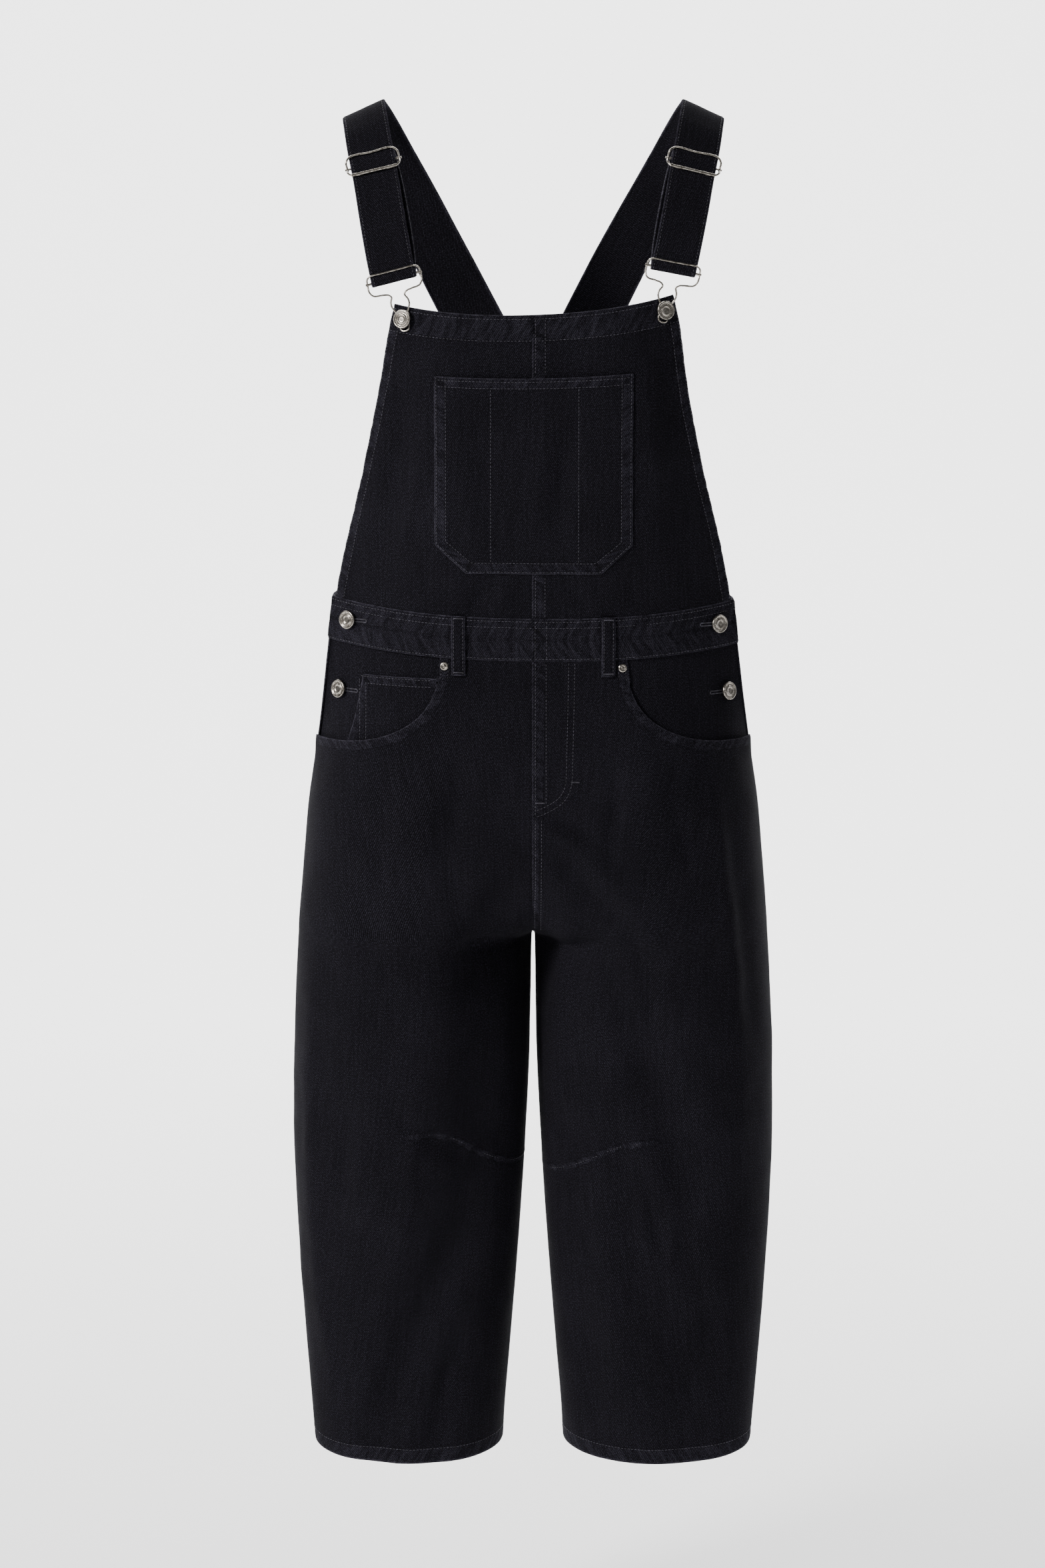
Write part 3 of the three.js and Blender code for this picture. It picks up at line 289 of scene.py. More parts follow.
def quarter_point(face, z, t):
    """Section of a quarter of the body. t runs from the centre line (0) over the apex (1) to the side (2)."""
    apex, side, depth = column(SECTIONS, "apex", z), column(SECTIONS, "side", z), column(SECTIONS, face, z)
    edge, inner = column(SECTIONS, face + "_edge", z), column(SECTIONS, "inner", z)
    seam = column(SECTIONS, "seam", z) * (1 if face == "front" else -1)
    bend = column(SECTIONS, "bend", z) if face == "front" else 1
    first = np.clip(t, 0, 1)
    angle = first * math.pi / 2
    across = mix(first, 1 - np.cos(angle), column(SECTIONS, "round", z))
    x_in, y_in = mix(inner, apex, across), mix(edge, depth, np.sin(angle))
    second = np.clip(t - 1, 0, 1)
    angle = second * math.pi / 2
    out = mix(second, np.sin(angle) ** CURVE_POWER, bend)
    deep = np.maximum(0, np.cos(angle)) ** CURVE_POWER
    x_out, y_out = mix(apex, side, out), mix(seam, depth, deep)
    return np.where(t <= 1, x_in, x_out), np.where(t <= 1, y_in, y_out)


def section_grid(face):
    """x, depth and panel width of one face of the body at every level and share."""
    levels = LEVELS[:, None]
    t = np.linspace(0, 2, 2 * ARC_STEPS + 1)[None, :]
    x, y = quarter_point(face, levels, np.broadcast_to(t, (len(LEVELS), t.shape[1])))
    lengths = np.hypot(np.diff(x, axis=1), np.diff(y, axis=1))
    inner = np.cumsum(lengths[:, :ARC_STEPS], axis=1)
    outer = np.cumsum(lengths[:, ARC_STEPS:], axis=1)
    split = column(SECTIONS, "split", levels)
    share = np.concatenate(
        (np.zeros_like(levels), split * inner / inner[:, -1:],
         split + (1 - split) * outer / outer[:, -1:]), axis=1)
    where = np.array([np.interp(SHARES, share[k], t[0]) for k in range(len(LEVELS))])
    return (*quarter_point(face, np.broadcast_to(levels, where.shape), where), inner[:, -1] + outer[:, -1])


GRIDS = {face: section_grid(face) for face in ("front", "back")}


def sample(grid, share, z):
    """Value of a grid between its levels and shares."""
    row = np.clip((LEVELS[0] - z) / LEVEL_STEP, 0, len(LEVELS) - 1.001)
    col = np.clip(share, 0, 1) * (len(SHARES) - 1)
    j, i = row.astype(int), np.minimum(col.astype(int), len(SHARES) - 2)
    v, u = row - j, col - i
    return ((grid[j, i] * (1 - u) + grid[j, i + 1] * u) * (1 - v)
            + (grid[j + 1, i] * (1 - u) + grid[j + 1, i + 1] * u) * v)


def body(s, z):
    """Body points on the wearer's left, without folds."""
    s, z = np.broadcast_arrays(np.asarray(s, float), np.asarray(z, float))
    front = s <= 1
    share = np.where(front, s, 2 - s)
    x = np.where(front, sample(GRIDS["front"][0], share, z), sample(GRIDS["back"][0], share, z))
    y = np.where(front, -sample(GRIDS["front"][1], share, z), sample(GRIDS["back"][1], share, z))
    return np.stack((x, y, z), axis=-1)


def panel_width(face, z):
    """Width of a panel round the body at one height, from the centre line to the side seam."""
    return np.interp(-z, -LEVELS, GRIDS[face][2])


def outward(s, z):
    """Directions out of the body on the wearer's left."""
    s, z = np.broadcast_arrays(np.asarray(s, float), np.asarray(z, float))
    low = np.where(s <= 1, 0, 1)
    along = body(np.minimum(low + 1, s + 0.004), z) - body(np.maximum(low, s - 0.004) + low * 1e-9, z)
    up = body(s, z + 0.6) - body(s, z - 0.6)
    normal = np.cross(along, up)
    return normal / np.linalg.norm(normal, axis=-1, keepdims=True)


def share_at(face, z, x):
    """The value of s at which the body is x wide of the centre line."""
    z, x = np.broadcast_arrays(np.asarray(z, float), np.asarray(x, float))
    low, high = np.zeros(z.shape), np.ones(z.shape)
    for _ in range(30):
        middle = (low + high) / 2
        narrow = sample(GRIDS[face][0], middle, z) < x
        low, high = np.where(narrow, middle, low), np.where(narrow, high, middle)
    middle = (low + high) / 2
    return middle if face == "front" else 2 - middle


def lap_over(points, side, to_centre):
    """Carries the wearer's left half a little over the right one at the centre seam."""
    if side > 0:
        points[:, 0] -= LAP * np.exp(-(to_centre / 2.5) ** 2)
    return points


# Folds, creases and unevenness

RANDOM = np.random.default_rng(SEED).random((TILE, TILE))


def unevenness(u, v):
    """Smooth random heights from -1 to 1."""
    i, j = np.floor(u).astype(int), np.floor(v).astype(int)
    a, b = ease(u - i), ease(v - j)
    i0, j0, i1, j1 = i % TILE, j % TILE, (i + 1) % TILE, (j + 1) % TILE
    low = mix(RANDOM[i0, j0], RANDOM[i1, j0], a)
    high = mix(RANDOM[i0, j1], RANDOM[i1, j1], a)
    return 2 * mix(low, high, b) - 1


def crease_depth(path, width, x, z):
    """How deep one crease of depth 1 is: soft across, uneven along and fading at its ends."""
    points = np.array(path, float)
    steps = np.linalg.norm(np.diff(points, axis=0), axis=1)
    starts = np.concatenate(([0], np.cumsum(steps)))
    best, along = np.full(x.shape, np.inf), np.zeros(x.shape)
    for k, step in enumerate(steps):
        a, d = points[k], (points[k + 1] - points[k]) / step
        t = np.clip((x - a[0]) * d[0] + (z - a[1]) * d[1], 0, step)
        away = np.hypot(x - a[0] - t * d[0], z - a[1] - t * d[1])
        nearer = away < best
        best, along = np.where(nearer, away, best), np.where(nearer, starts[k] + t, along)
    share = along / starts[-1]
    fade = np.sin(math.pi * np.clip(0.06 + 0.94 * share, 0, 1)) ** 0.7
    uneven = 1 + 0.3 * unevenness(along / 21 + points[0, 0], along * 0 + width)
    spread = width * (1 + 0.25 * unevenness(along / 34 + points[0, 1], along * 0 + 3.3))
    return fade * uneven * np.exp(-(best / spread) ** 2)


def fold_depth(side, s, z, x):
    """How far the folds, creases and unevenness push the cloth in."""
    front = s <= 1
    share = np.where(front, s, 2 - s)
    depth = np.zeros(x.shape)
    for fold_side, face, path in FOLDS:
        on = (side == fold_side) & (front == (face == "front")) & (z < path["z"][0])
        away = (x - column(path, "x", z)) / column(path, "width", z)
        depth += on * FOLD_STRENGTH * column(path, "depth", z) * np.exp(-away**2)
    depth *= np.clip(np.minimum(share, 1 - share) / 0.12, 0, 1)
    for face, deep, width, path in CREASES:
        on = front == (face == "front")
        reach = 3 * width
        xs, zs = [p[0] for p in path], [p[1] for p in path]
        near = (on & (x * side > min(xs) - reach) & (x * side < max(xs) + reach)
                & (z > min(zs) - reach) & (z < max(zs) + reach))
        if near.any():
            depth[near] += CREASE_STRENGTH * deep * crease_depth(path, width, (x * side)[near], z[near])
    calm = np.clip(np.minimum(share, 1 - share) / 0.05, 0, 1)
    wide = unevenness(s * 3.4 + 7 * side + 20, z / 74 + 40) + 0.5 * unevenness(s * 7 + 11,
                                                                               z / 38 + 9 * side)
    fine = unevenness(s * 16 + 3 * side, z / 15 + 2 * s)
    return depth + calm * (0.9 * wide + 0.22 * fine)


def lean(points):
    points[..., 2] += column(LEAN, "lift", points[..., 2]) * points[..., 0]
    return points


def garment(side, s, z, offset):
    """Points of the garment's outside moved out by offset, and the directions out of it."""
    side, s, z, offset = np.broadcast_arrays(*(np.asarray(v, float) for v in (side, s, z, offset)))
    points = body(s, z)
    normals = outward(s, z)
    depth = fold_depth(side, s, z, points[..., 0])
    points = points + normals * (offset - depth)[..., None]
    seam_y = np.where(np.abs(s - 1) < 0.5, -column(SECTIONS, "seam", z), 0)
    y = points[..., 1]
    points[..., 1] = np.where(s <= 1, np.minimum(y, seam_y - SEAM), np.maximum(y, seam_y + SEAM))
    points[..., 0] = np.maximum(points[..., 0], 0) * side
    normals[..., 0] *= side
    return lean(points), normals


def at_x(face, x, z, offset):
    """Garment points at row positions x and z on one face."""
    side = np.where(np.asarray(x, float) < 0, -1.0, 1.0)
    return garment(side, share_at(face, z, np.abs(x)), z, offset)


def waist_top(s):
    front = mix(WAIST["top_centre"], WAIST["top_side"], s * s)
    return np.where(s <= 1, front, WAIST["top_side"] + WAIST["back"] * (s - 1))


def waist_bottom(s):
    front = mix(WAIST["bottom_centre"], WAIST["bottom_side"], s * s)
    return np.where(s <= 1, front, WAIST["bottom_side"] + WAIST["back"] * (s - 1))


# Cloth as a grid laid on the garment

def stations(length, step, fine=(0.5, 1.4, 2.8)):
    """Places from 0 to length, evenly apart, with closer ones near both ends."""
    even = np.linspace(0, length, max(2, int(round(length / step)) + 1))
    inside = even[(even > fine[-1] + 0.4 * step) & (even < length - fine[-1] - 0.4 * step)]
    return np.concatenate(([0], fine, inside, length - np.array(fine[::-1]), [length]))


def read_points(mesh):
    values = np.empty(3 * len(mesh.vertices), np.float32)
    mesh.vertices.foreach_get("co", values)
    return values.reshape(-1, 3).astype(float)


def write_points(mesh, points):
    mesh.vertices.foreach_set("co", (points * MM).astype(np.float32).ravel())
    mesh.update()


def mesh_from(bm, name):
    """The finished mesh of a bmesh, which is freed."""
    mesh = bpy.data.meshes.new(name)
    bm.to_mesh(mesh)
    bm.free()
    return mesh


def smooth(mesh):
    mesh.polygons.foreach_set("use_smooth", np.ones(len(mesh.polygons), bool))


def add_piece(name, mesh, material):
    """Puts a mesh in the scene as one smooth piece of the garment."""
    smooth(mesh)
    piece = bpy.data.objects.new(name, mesh)
    bpy.context.scene.collection.objects.link(piece)
    mesh.materials.clear()
    mesh.materials.append(MATERIALS[material]())
    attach(piece, "root")
    return piece


def run_along(points):
    """Distance along a line from its start to each of its points."""
    return np.concatenate(([0], np.cumsum(np.linalg.norm(np.diff(points, axis=0), axis=1))))


def write_value(mesh, name, values):
    mesh.attributes.new(name, "FLOAT", "POINT").data.foreach_set("value", values.astype(np.float32))


def write_weave(mesh, uv):
    """The cloth's own map: metres across and along the threads."""
    layer = mesh.uv_layers.new(name="weave")
    corner = np.empty(len(mesh.loops), np.int32)
    mesh.loops.foreach_get("vertex_index", corner)
    layer.data.foreach_set("uv", (uv[corner] * MM).astype(np.float32).ravel())


def turn_outwards(mesh, normals):
    """Flips a grid whose faces look against the given directions."""
    own = np.empty(3 * len(mesh.vertices), np.float32)
    mesh.vertices.foreach_get("normal", own)
    if float(np.sum(own.reshape(-1, 3) * normals)) < 0:
        mesh.flip_normals()


def nearest_edge(edges, count):
    """Distance to the nearest sewn edge, place along it, width of its double cloth, and its wear."""
    found = {"edge_dist": np.full(count, 99.0), "edge_run": np.zeros(count), "edge_band": np.zeros(count),
             "edge_wear": np.zeros(count)}
    for edge in edges:
        edge = [np.broadcast_to(value, (count,)) for value in edge]
        nearer = edge[0] - edge[2] < found["edge_dist"] - found["edge_band"]
        for name, value in zip(found, edge):
            found[name] = np.where(nearer, value, found[name])
    return found


def cloth_piece(name, node, across, down, lay, thick=CLOTH):
    """Cloth over places across and down. lay(a, d) gives points, directions out, weave and edges.
    """
    columns, rows = len(across) - 1, len(down) - 1
    bm = bmesh.new()
    bmesh.ops.create_grid(bm, x_segments=columns, y_segments=rows, size=0.5)
    mesh = mesh_from(bm, name)
    places = read_points(mesh)
    i = np.rint((places[:, 0] + 0.5) * columns).astype(int)
    j = np.rint((0.5 - places[:, 1]) * rows).astype(int)
    points, normals, weave, edges = lay(across[i], down[j])
    write_points(mesh, points)
    write_weave(mesh, weave)
    for attribute, values in nearest_edge(edges, len(points)).items():
        write_value(mesh, attribute, values)
    turn_outwards(mesh, normals)
    piece = add_piece(name, mesh, "denim")
    shell = piece.modifiers.new("cloth thickness", "SOLIDIFY")
    shell.thickness = thick * MM
    shell.offset = -1
    if node:
        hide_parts(*([node] if isinstance(node, str) else node))
    return piece


def edge_roll(away, drop, reach):
    """How far a panel's cloth turns down towards a sewn edge."""
    return -drop * np.exp(-(np.maximum(away, 0) / reach) ** 2)


# Legs

def mouth_curve(count=80):
    """The hip pocket mouth's edge as distances from the centre line and heights."""
    angle = np.linspace(0, math.pi / 2, 400)
    x = MOUTH["outer"] - (MOUTH["outer"] - MOUTH["inner"]) * np.cos(angle).clip(0) ** (2 / MOUTH["power"])
    z = MOUTH["top"] - MOUTH["depth"] * np.sin(angle) ** (2 / MOUTH["power"])
    length = np.concatenate(([0], np.cumsum(np.hypot(np.diff(x), np.diff(z)))))
    even = np.linspace(0, length[-1], count)
    return np.interp(even, length, x), np.interp(even, length, z), even


def distance_to_line(x, z, line_x, line_z, line_run):
    """Distance of points to a line and the place along it."""
    apart = np.hypot(x[:, None] - line_x[None, :], z[:, None] - line_z[None, :])
    nearest = apart.argmin(axis=1)
    return apart[np.arange(len(x)), nearest], line_run[nearest]


HEM_TURN = 1.3
TOP_BLOCK = 140.0


def leg_front_shares():
    """Places across a front leg: even ones, and closer ones where the pocket mouth is steep."""
    even = stations(1.0, 0.0125, fine=(0.0018, 0.005, 0.01))
    x, z, _ = mouth_curve(70)
    return np.unique(np.round(np.concatenate((even, share_at("front", z, x)[:-1])), 4))


def leg_front_top(share):
    x, z, _ = mouth_curve(200)
    at = share_at("front", z, x)
    mouth = np.interp(share, at, z, left=0)
    return np.minimum(waist_bottom(share) + TUCK, np.where(share < at[0], 0, mouth))


def leg_levels():
    """Distances down a leg: the block above the hips, the leg, and the turned-up hem inside."""
    top = np.linspace(0, TOP_BLOCK, 42)
    straight = LEG_BLOCK_TOP - (HEM_SIDE_Z + HEM_TURN)
    leg = TOP_BLOCK + np.linspace(0, straight, 186)[1:]
    last = leg[-1]
    bend = last + HEM_TURN * math.pi * np.linspace(0, 1, 6)[1:]
    inside = bend[-1] + np.linspace(0, HEM_FOLD - 1, 5)[1:]
    return np.concatenate(([0], [1.0, 2.5], top[1:], leg, bend, inside))


def leg_place(s, down, top):
    """Height and offset of a leg's cloth, which turns up inside at the hem."""
    straight = TOP_BLOCK + LEG_BLOCK_TOP - (HEM_SIDE_Z + HEM_TURN)
    block = mix(top, LEG_BLOCK_TOP, np.clip(down / TOP_BLOCK, 0, 1))
    path = down - straight
    angle = np.clip(path / HEM_TURN, 0, math.pi)
    up = np.maximum(0, path - HEM_TURN * math.pi)
    low = HEM_SIDE_Z + HEM_TURN - HEM_TURN * np.sin(angle) + up
    level = np.where(down <= TOP_BLOCK, block, np.where(path < 0, LEG_BLOCK_TOP - (down - TOP_BLOCK), low))
    offset = -HEM_TURN * (1 - np.cos(angle))
    blend = np.clip((level - HEM_BLEND_TOP) / (HEM_SIDE_Z - HEM_BLEND_TOP), 0, 1)
    return level + HEM_TILT * body(s, level)[..., 1] * blend, offset, straight - down


def knee_line(side, x, z):
    """Distance of places to the front leg's knee seam, the place along it, and which lie above it."""
    path = np.array(KNEE_SEAMS[side], float) * (side, 1)
    line_x, line_z = catmull_rom(path, np.linspace(0, 1, 90)).T
    run = np.concatenate(([0], np.cumsum(np.hypot(np.diff(line_x), np.diff(line_z)))))
    away, along = np.full(x.shape, 99.0), np.zeros(x.shape)
    near = (z < -930) & (z > -1030) & (x < 140)
    away[near], along[near] = distance_to_line(x[near], z[near], line_x, line_z, run)
    return away, along, z > np.interp(x, line_x, line_z)


def lay_leg(side, face):
    """How one leg panel lies."""
    mouth_x, mouth_z, mouth_run = mouth_curve(90)

    def lay(share, down):
        front = face == "front"
        top = leg_front_top(share) if front else waist_bottom(2 - share) + TUCK
        s = share if front else 2 - share
        z, offset, above_hem = leg_place(s, down, top)
        width = panel_width(face, z)
        shy = SEAM / width
        s = np.clip(s, shy, 1 - shy) if front else np.clip(s, 1 + shy, 2 - shy)
        to_centre, to_side = share * width, (1 - share) * width
        lap = np.where((z > FLY_BOTTOM) & front & (side > 0), FLY_LAP,
                       np.where((z > CROTCH_Z) & front & (side > 0), RISE_LAP, 1.5))
        hem = np.abs(above_hem)
        edges = [(to_side, z, 1.5, 0.3), (to_centre, z, lap, 0.5), (hem, share * width, HEM_FOLD, 0.6),
                 (top - z, share * width, 1.5, 0)]
        if front:
            x = body(s, z)[..., 0]
            away, run = distance_to_line(x, z, mouth_x, mouth_z, mouth_run)
            edges.append((away, run, 8.5, 1))
            lip = 2.2 * np.exp(-(away / 15) ** 2) * ease((MOUTH["top"] - 8 - z) / 40)
            offset = offset + edge_roll(away, 0.5, 1.2) + lip
            knee, along_knee, above = knee_line(side, x, z)
            ridge = np.where(above, 0.55 * np.exp(-((knee - 3) / 2.4) ** 2), 0)
            ridge = ridge - 0.6 * np.exp(-(knee / 0.9) ** 2)
            tuck = np.where(above, 0.35 * unevenness(along_knee / 5,
                                                     knee / 14) * np.exp(-(knee / 12) ** 2), 0)
            offset = offset + ridge + tuck
            edges.append((np.where(above, knee, knee + 4), along_knee, 5.0, 0.9))
        pucker = 0.35 * np.exp(-(np.minimum(hem, 14) / 9) ** 2) * unevenness(share * width / 4.6,
                                                                             hem / 9 + 5)
        offset = offset + edge_roll(to_side, 0.7, 1.6) + pucker * (above_hem > 0)
        offset = offset + np.where(z < CROTCH_Z, 1, 0.4 if side > 0 else 1) * edge_roll(to_centre, 0.7, 1.6)
        points, normals = garment(side, s, z, offset)
        if front:
            lap_over(points, side, np.where(z > CROTCH_Z, to_centre, 99))
        return points, normals, np.stack((side * share * width, z), axis=-1), edges

    return lay


# Stitches

STITCH = {"pitch": 3.2, "length": 2.5, "radius": 0.24}


def thread_row(rows, points, normals, pitch=None):
    """Adds a row of stitches along points to the list."""
    rows.append((np.asarray(points), np.asarray(normals), pitch or STITCH["pitch"]))


def sew(rows, lay, across, down):
    """Adds a row of stitches along places of a laid piece."""
    points, normals, _, _ = lay(across, down)
    thread_row(rows, points, normals)


def row_places(points, normals, pitch):
    """Ends of each stitch of a row, and the directions out of the cloth there."""
    run = run_along(points)
    count = max(1, int(run[-1] / pitch))
    middle = (np.arange(count) + 0.5) * run[-1] / count
    half = 0.5 * STITCH["length"] * pitch / STITCH["pitch"]
    starts, ends, outs = (
        np.stack([np.interp(at, run, values[:, c]) for c in range(3)], axis=1)
        for at, values in ((middle - half, points), (middle + half, points), (middle, normals)))
    return starts, ends, outs


def unit(vectors):
    return vectors / np.linalg.norm(vectors, axis=1, keepdims=True)


def copies(count):
    """A mesh of many unit spheres, one after another in its list of vertices."""
    bm = bmesh.new()
    bmesh.ops.create_uvsphere(bm, u_segments=5, v_segments=4, radius=1)
    mesh = mesh_from(bm, "thread")
    each = len(mesh.vertices)
    bm = bmesh.new()
    for _ in range(count):
        bm.from_mesh(mesh)
    bm.to_mesh(mesh)
    bm.free()
    return mesh, each


def stitches(name, rows):
    """One mesh of thread for all the given rows."""
    starts, ends, outs = (np.concatenate(parts) for parts in zip(*(row_places(*row) for row in rows)))
    along = unit(ends - starts)
    across = unit(np.cross(outs, along))
    up = np.cross(along, across)
    length = np.linalg.norm(ends - starts, axis=1) / 2
    radius = STITCH["radius"]
    mesh, each = copies(len(starts))
    mesh.name = name
    shape = read_points(mesh).reshape(-1, each, 3)
    middle = (starts + ends) / 2 + up * (0.35 * radius)
    points = (middle[:, None] + shape[..., :1] * (along * length[:, None])[:, None]
              + shape[..., 1:2] * (across * radius * 1.15)[:, None]
              + shape[..., 2:] * (up * radius)[:, None])
    write_points(mesh, points.reshape(-1, 3))
    return add_piece(name, mesh, "thread")


def bartack(rows, face, x, z, length, upright, offset):
    """A short bar of tight stitches across the cloth, centred at x and z."""
    for k in range(int(length / TACK["pitch"])):
        step = (k + 0.5) * TACK["pitch"] - length / 2
        t = np.array([-1.0, 1.0])
        xs = x + (t * TACK["half"] if upright else step + 0 * t)
        zs = z + (step + 0 * t if upright else t * TACK["half"])
        points, normals = at_x(face, xs, zs, offset)
        thread_row(rows, points, normals, pitch=2.2)


# Curves for straps and wires

def catmull_rom(points, t):
    """Centripetal curve through points, at t from 0 to 1."""
    points = np.asarray(points, float)
    last = len(points) - 1
    spot = np.clip(np.asarray(t, float), 0, 1) * last
    i = np.minimum(spot.astype(int), last - 1)
    w = (spot - i)[:, None]
    padded = np.vstack((2 * points[0] - points[1], points, 2 * points[-1] - points[-2]))
    p0, p1, p2, p3 = (padded[i + k] for k in range(4))
    gaps = [np.maximum(1e-9, np.linalg.norm(b - a, axis=1, keepdims=True)) ** 0.5
            for a, b in ((p0, p1), (p1, p2), (p2, p3))]
    t1 = (p1 - p0) / gaps[0] - (p2 - p0) / (gaps[0] + gaps[1]) + (p2 - p1) / gaps[1]
    t2 = (p2 - p1) / gaps[1] - (p3 - p1) / (gaps[1] + gaps[2]) + (p3 - p2) / gaps[2]
    t1, t2 = t1 * gaps[1], t2 * gaps[1]
    return p1 + t1 * w + (3 * (p2 - p1) - 2 * t1 - t2) * w**2 + (2 * (p1 - p2) + t1 + t2) * w**3


def strap_frames(t):
    """Middle line of the wearer's left strap with its directions along, across and out."""
    path = np.stack((STRAP_PATH["x"], STRAP_PATH["y"], STRAP_PATH["z"]), axis=1)
    last = len(path) - 1
    middle = catmull_rom(path, t)
    along = catmull_rom(path, np.minimum(1, t + 1e-4)) - catmull_rom(path, np.maximum(0, t - 1e-4))
    along /= np.linalg.norm(along, axis=1, keepdims=True)
    spots = np.arange(last + 1) / last
    slope = np.radians(np.interp(t, spots, STRAP_PATH["slope"]))
    width = np.stack((np.cos(slope), 0 * slope, -np.sin(slope)), axis=1)
    width -= along * np.sum(width * along, axis=1, keepdims=True)
    width /= np.linalg.norm(width, axis=1, keepdims=True)
    normal = np.cross(along, width)
    normal /= np.linalg.norm(normal, axis=1, keepdims=True)
    return {"middle": middle, "along": along, "width": width, "normal": normal,
            "half": np.interp(t, spots, STRAP_PATH["width"]) / 2}


def strap_stations():
    """The strap's line over the shoulder, round the hook's crossbar and up behind itself."""
    front = strap_frames(np.linspace(0, 1, 205))
    end = {key: value[-1] for key, value in front.items()}
    radius = STRAP["return_gap"] / 2
    centre = end["middle"] - end["normal"] * radius
    parts = [front]
    angle = (math.pi * np.arange(1, 12) / 12)[:, None]
    normal = end["normal"] * np.cos(angle) + end["along"] * np.sin(angle)
    count = len(angle)
    parts.append({"middle": centre + normal * radius, "normal": normal,
                  "width": np.tile(end["width"], (count, 1)), "half": np.full(count, end["half"])})
    start = (round(SLIDER_AT * STRAP_PARTS) - 1) / STRAP_PARTS
    back = strap_frames(np.linspace(1, start, 60))
    shift = STRAP["return_shift"] * np.sin(math.pi * np.linspace(1, 0, 60))[:, None]
    parts.append({"middle": back["middle"] - back["normal"] * STRAP["return_gap"] - back["width"] * shift,
                  "normal": -back["normal"], "width": back["width"], "half": back["half"]})
    return {key: np.concatenate([p[key] for p in parts]) for key in ("middle", "normal", "width", "half")}


def lay_strap(sign):
    track = strap_stations()
    run = run_along(track["middle"])

    def lay(across, down):
        k = np.rint(down).astype(int)
        half = track["half"][k]
        from_edge = np.minimum(across, 1 - across) * 2 * half
        out = 0.5 * STRAP["thick"] + edge_roll(from_edge, 0.7, 0.9)
        ripple = 0.22 * unevenness(run[k] / 17, across * 3 + 5 * sign) * np.clip(from_edge / 5, 0, 1)
        points = track["middle"][k] + track["width"][k] * ((2 * across - 1) * half)[:, None]
        points = points + track["normal"][k] * (out + ripple)[:, None]
        normals = track["normal"][k].copy()
        points[:, 0] *= sign
        normals[:, 0] *= sign
        weave = np.stack((sign * (across - 0.5) * 2 * half, run[k]), axis=-1)
        return lean(points), normals, weave, [(from_edge, run[k], 2.6, 0.7)]

    return lay, len(run)


# Materials

def linear(hex_colour, alpha=1.0):
    """Linear colour from an sRGB hex value."""
    parts = [int(hex_colour[k:k + 2], 16) / 255 for k in (1, 3, 5)]
    return [c / 12.92 if c <= 0.04045 else ((c + 0.055) / 1.055) ** 2.4 for c in parts] + [alpha]


def add_node(tree, kind, links=None, **settings):
    """A node with its settings and its inputs linked or set."""
    node = tree.nodes.new(kind)
    for name, value in settings.items():
        setattr(node, name, value)
    for socket, value in (links or {}).items():
        if isinstance(value, bpy.types.NodeSocket):
            tree.links.new(value, node.inputs[socket])
        else:
            node.inputs[socket].default_value = value
    return node


def new_material(name):
    material = bpy.data.materials.new(name)
    material.use_nodes = True
    tree = material.node_tree
    return material, tree, tree.nodes["Principled BSDF"]


def ramp(tree, value, stops):
    """Colour ramp through (place, colour) stops."""
    node = add_node(tree, "ShaderNodeValToRGB", {"Fac": value})
    elements = node.color_ramp.elements
    for place, colour in stops[2:]:
        elements.new(place)
    for element, (place, colour) in zip(elements, sorted(stops)):
        element.position, element.color = place, colour
    return node.outputs["Color"]


def number(tree, operation, *values, clamp=False):
    node = add_node(tree, "ShaderNodeMath", dict(enumerate(values)), operation=operation, use_clamp=clamp)
    return node.outputs[0]


def noise(tree, vector, scale, detail):
    links = {"Vector": vector, "Scale": scale, "Detail": detail}
    return add_node(tree, "ShaderNodeTexNoise", links).outputs["Fac"]


def mapping(tree, vector, **change):
    return add_node(tree, "ShaderNodeMapping", {"Vector": vector, **change}).outputs["Vector"]


MADE = {}


def once(make):
    """Makes a material the first time it is asked for."""
    def get():
        if make.__name__ not in MADE:
            MADE[make.__name__] = make()
        return MADE[make.__name__]
    return get


TWILL_MM = 1.5


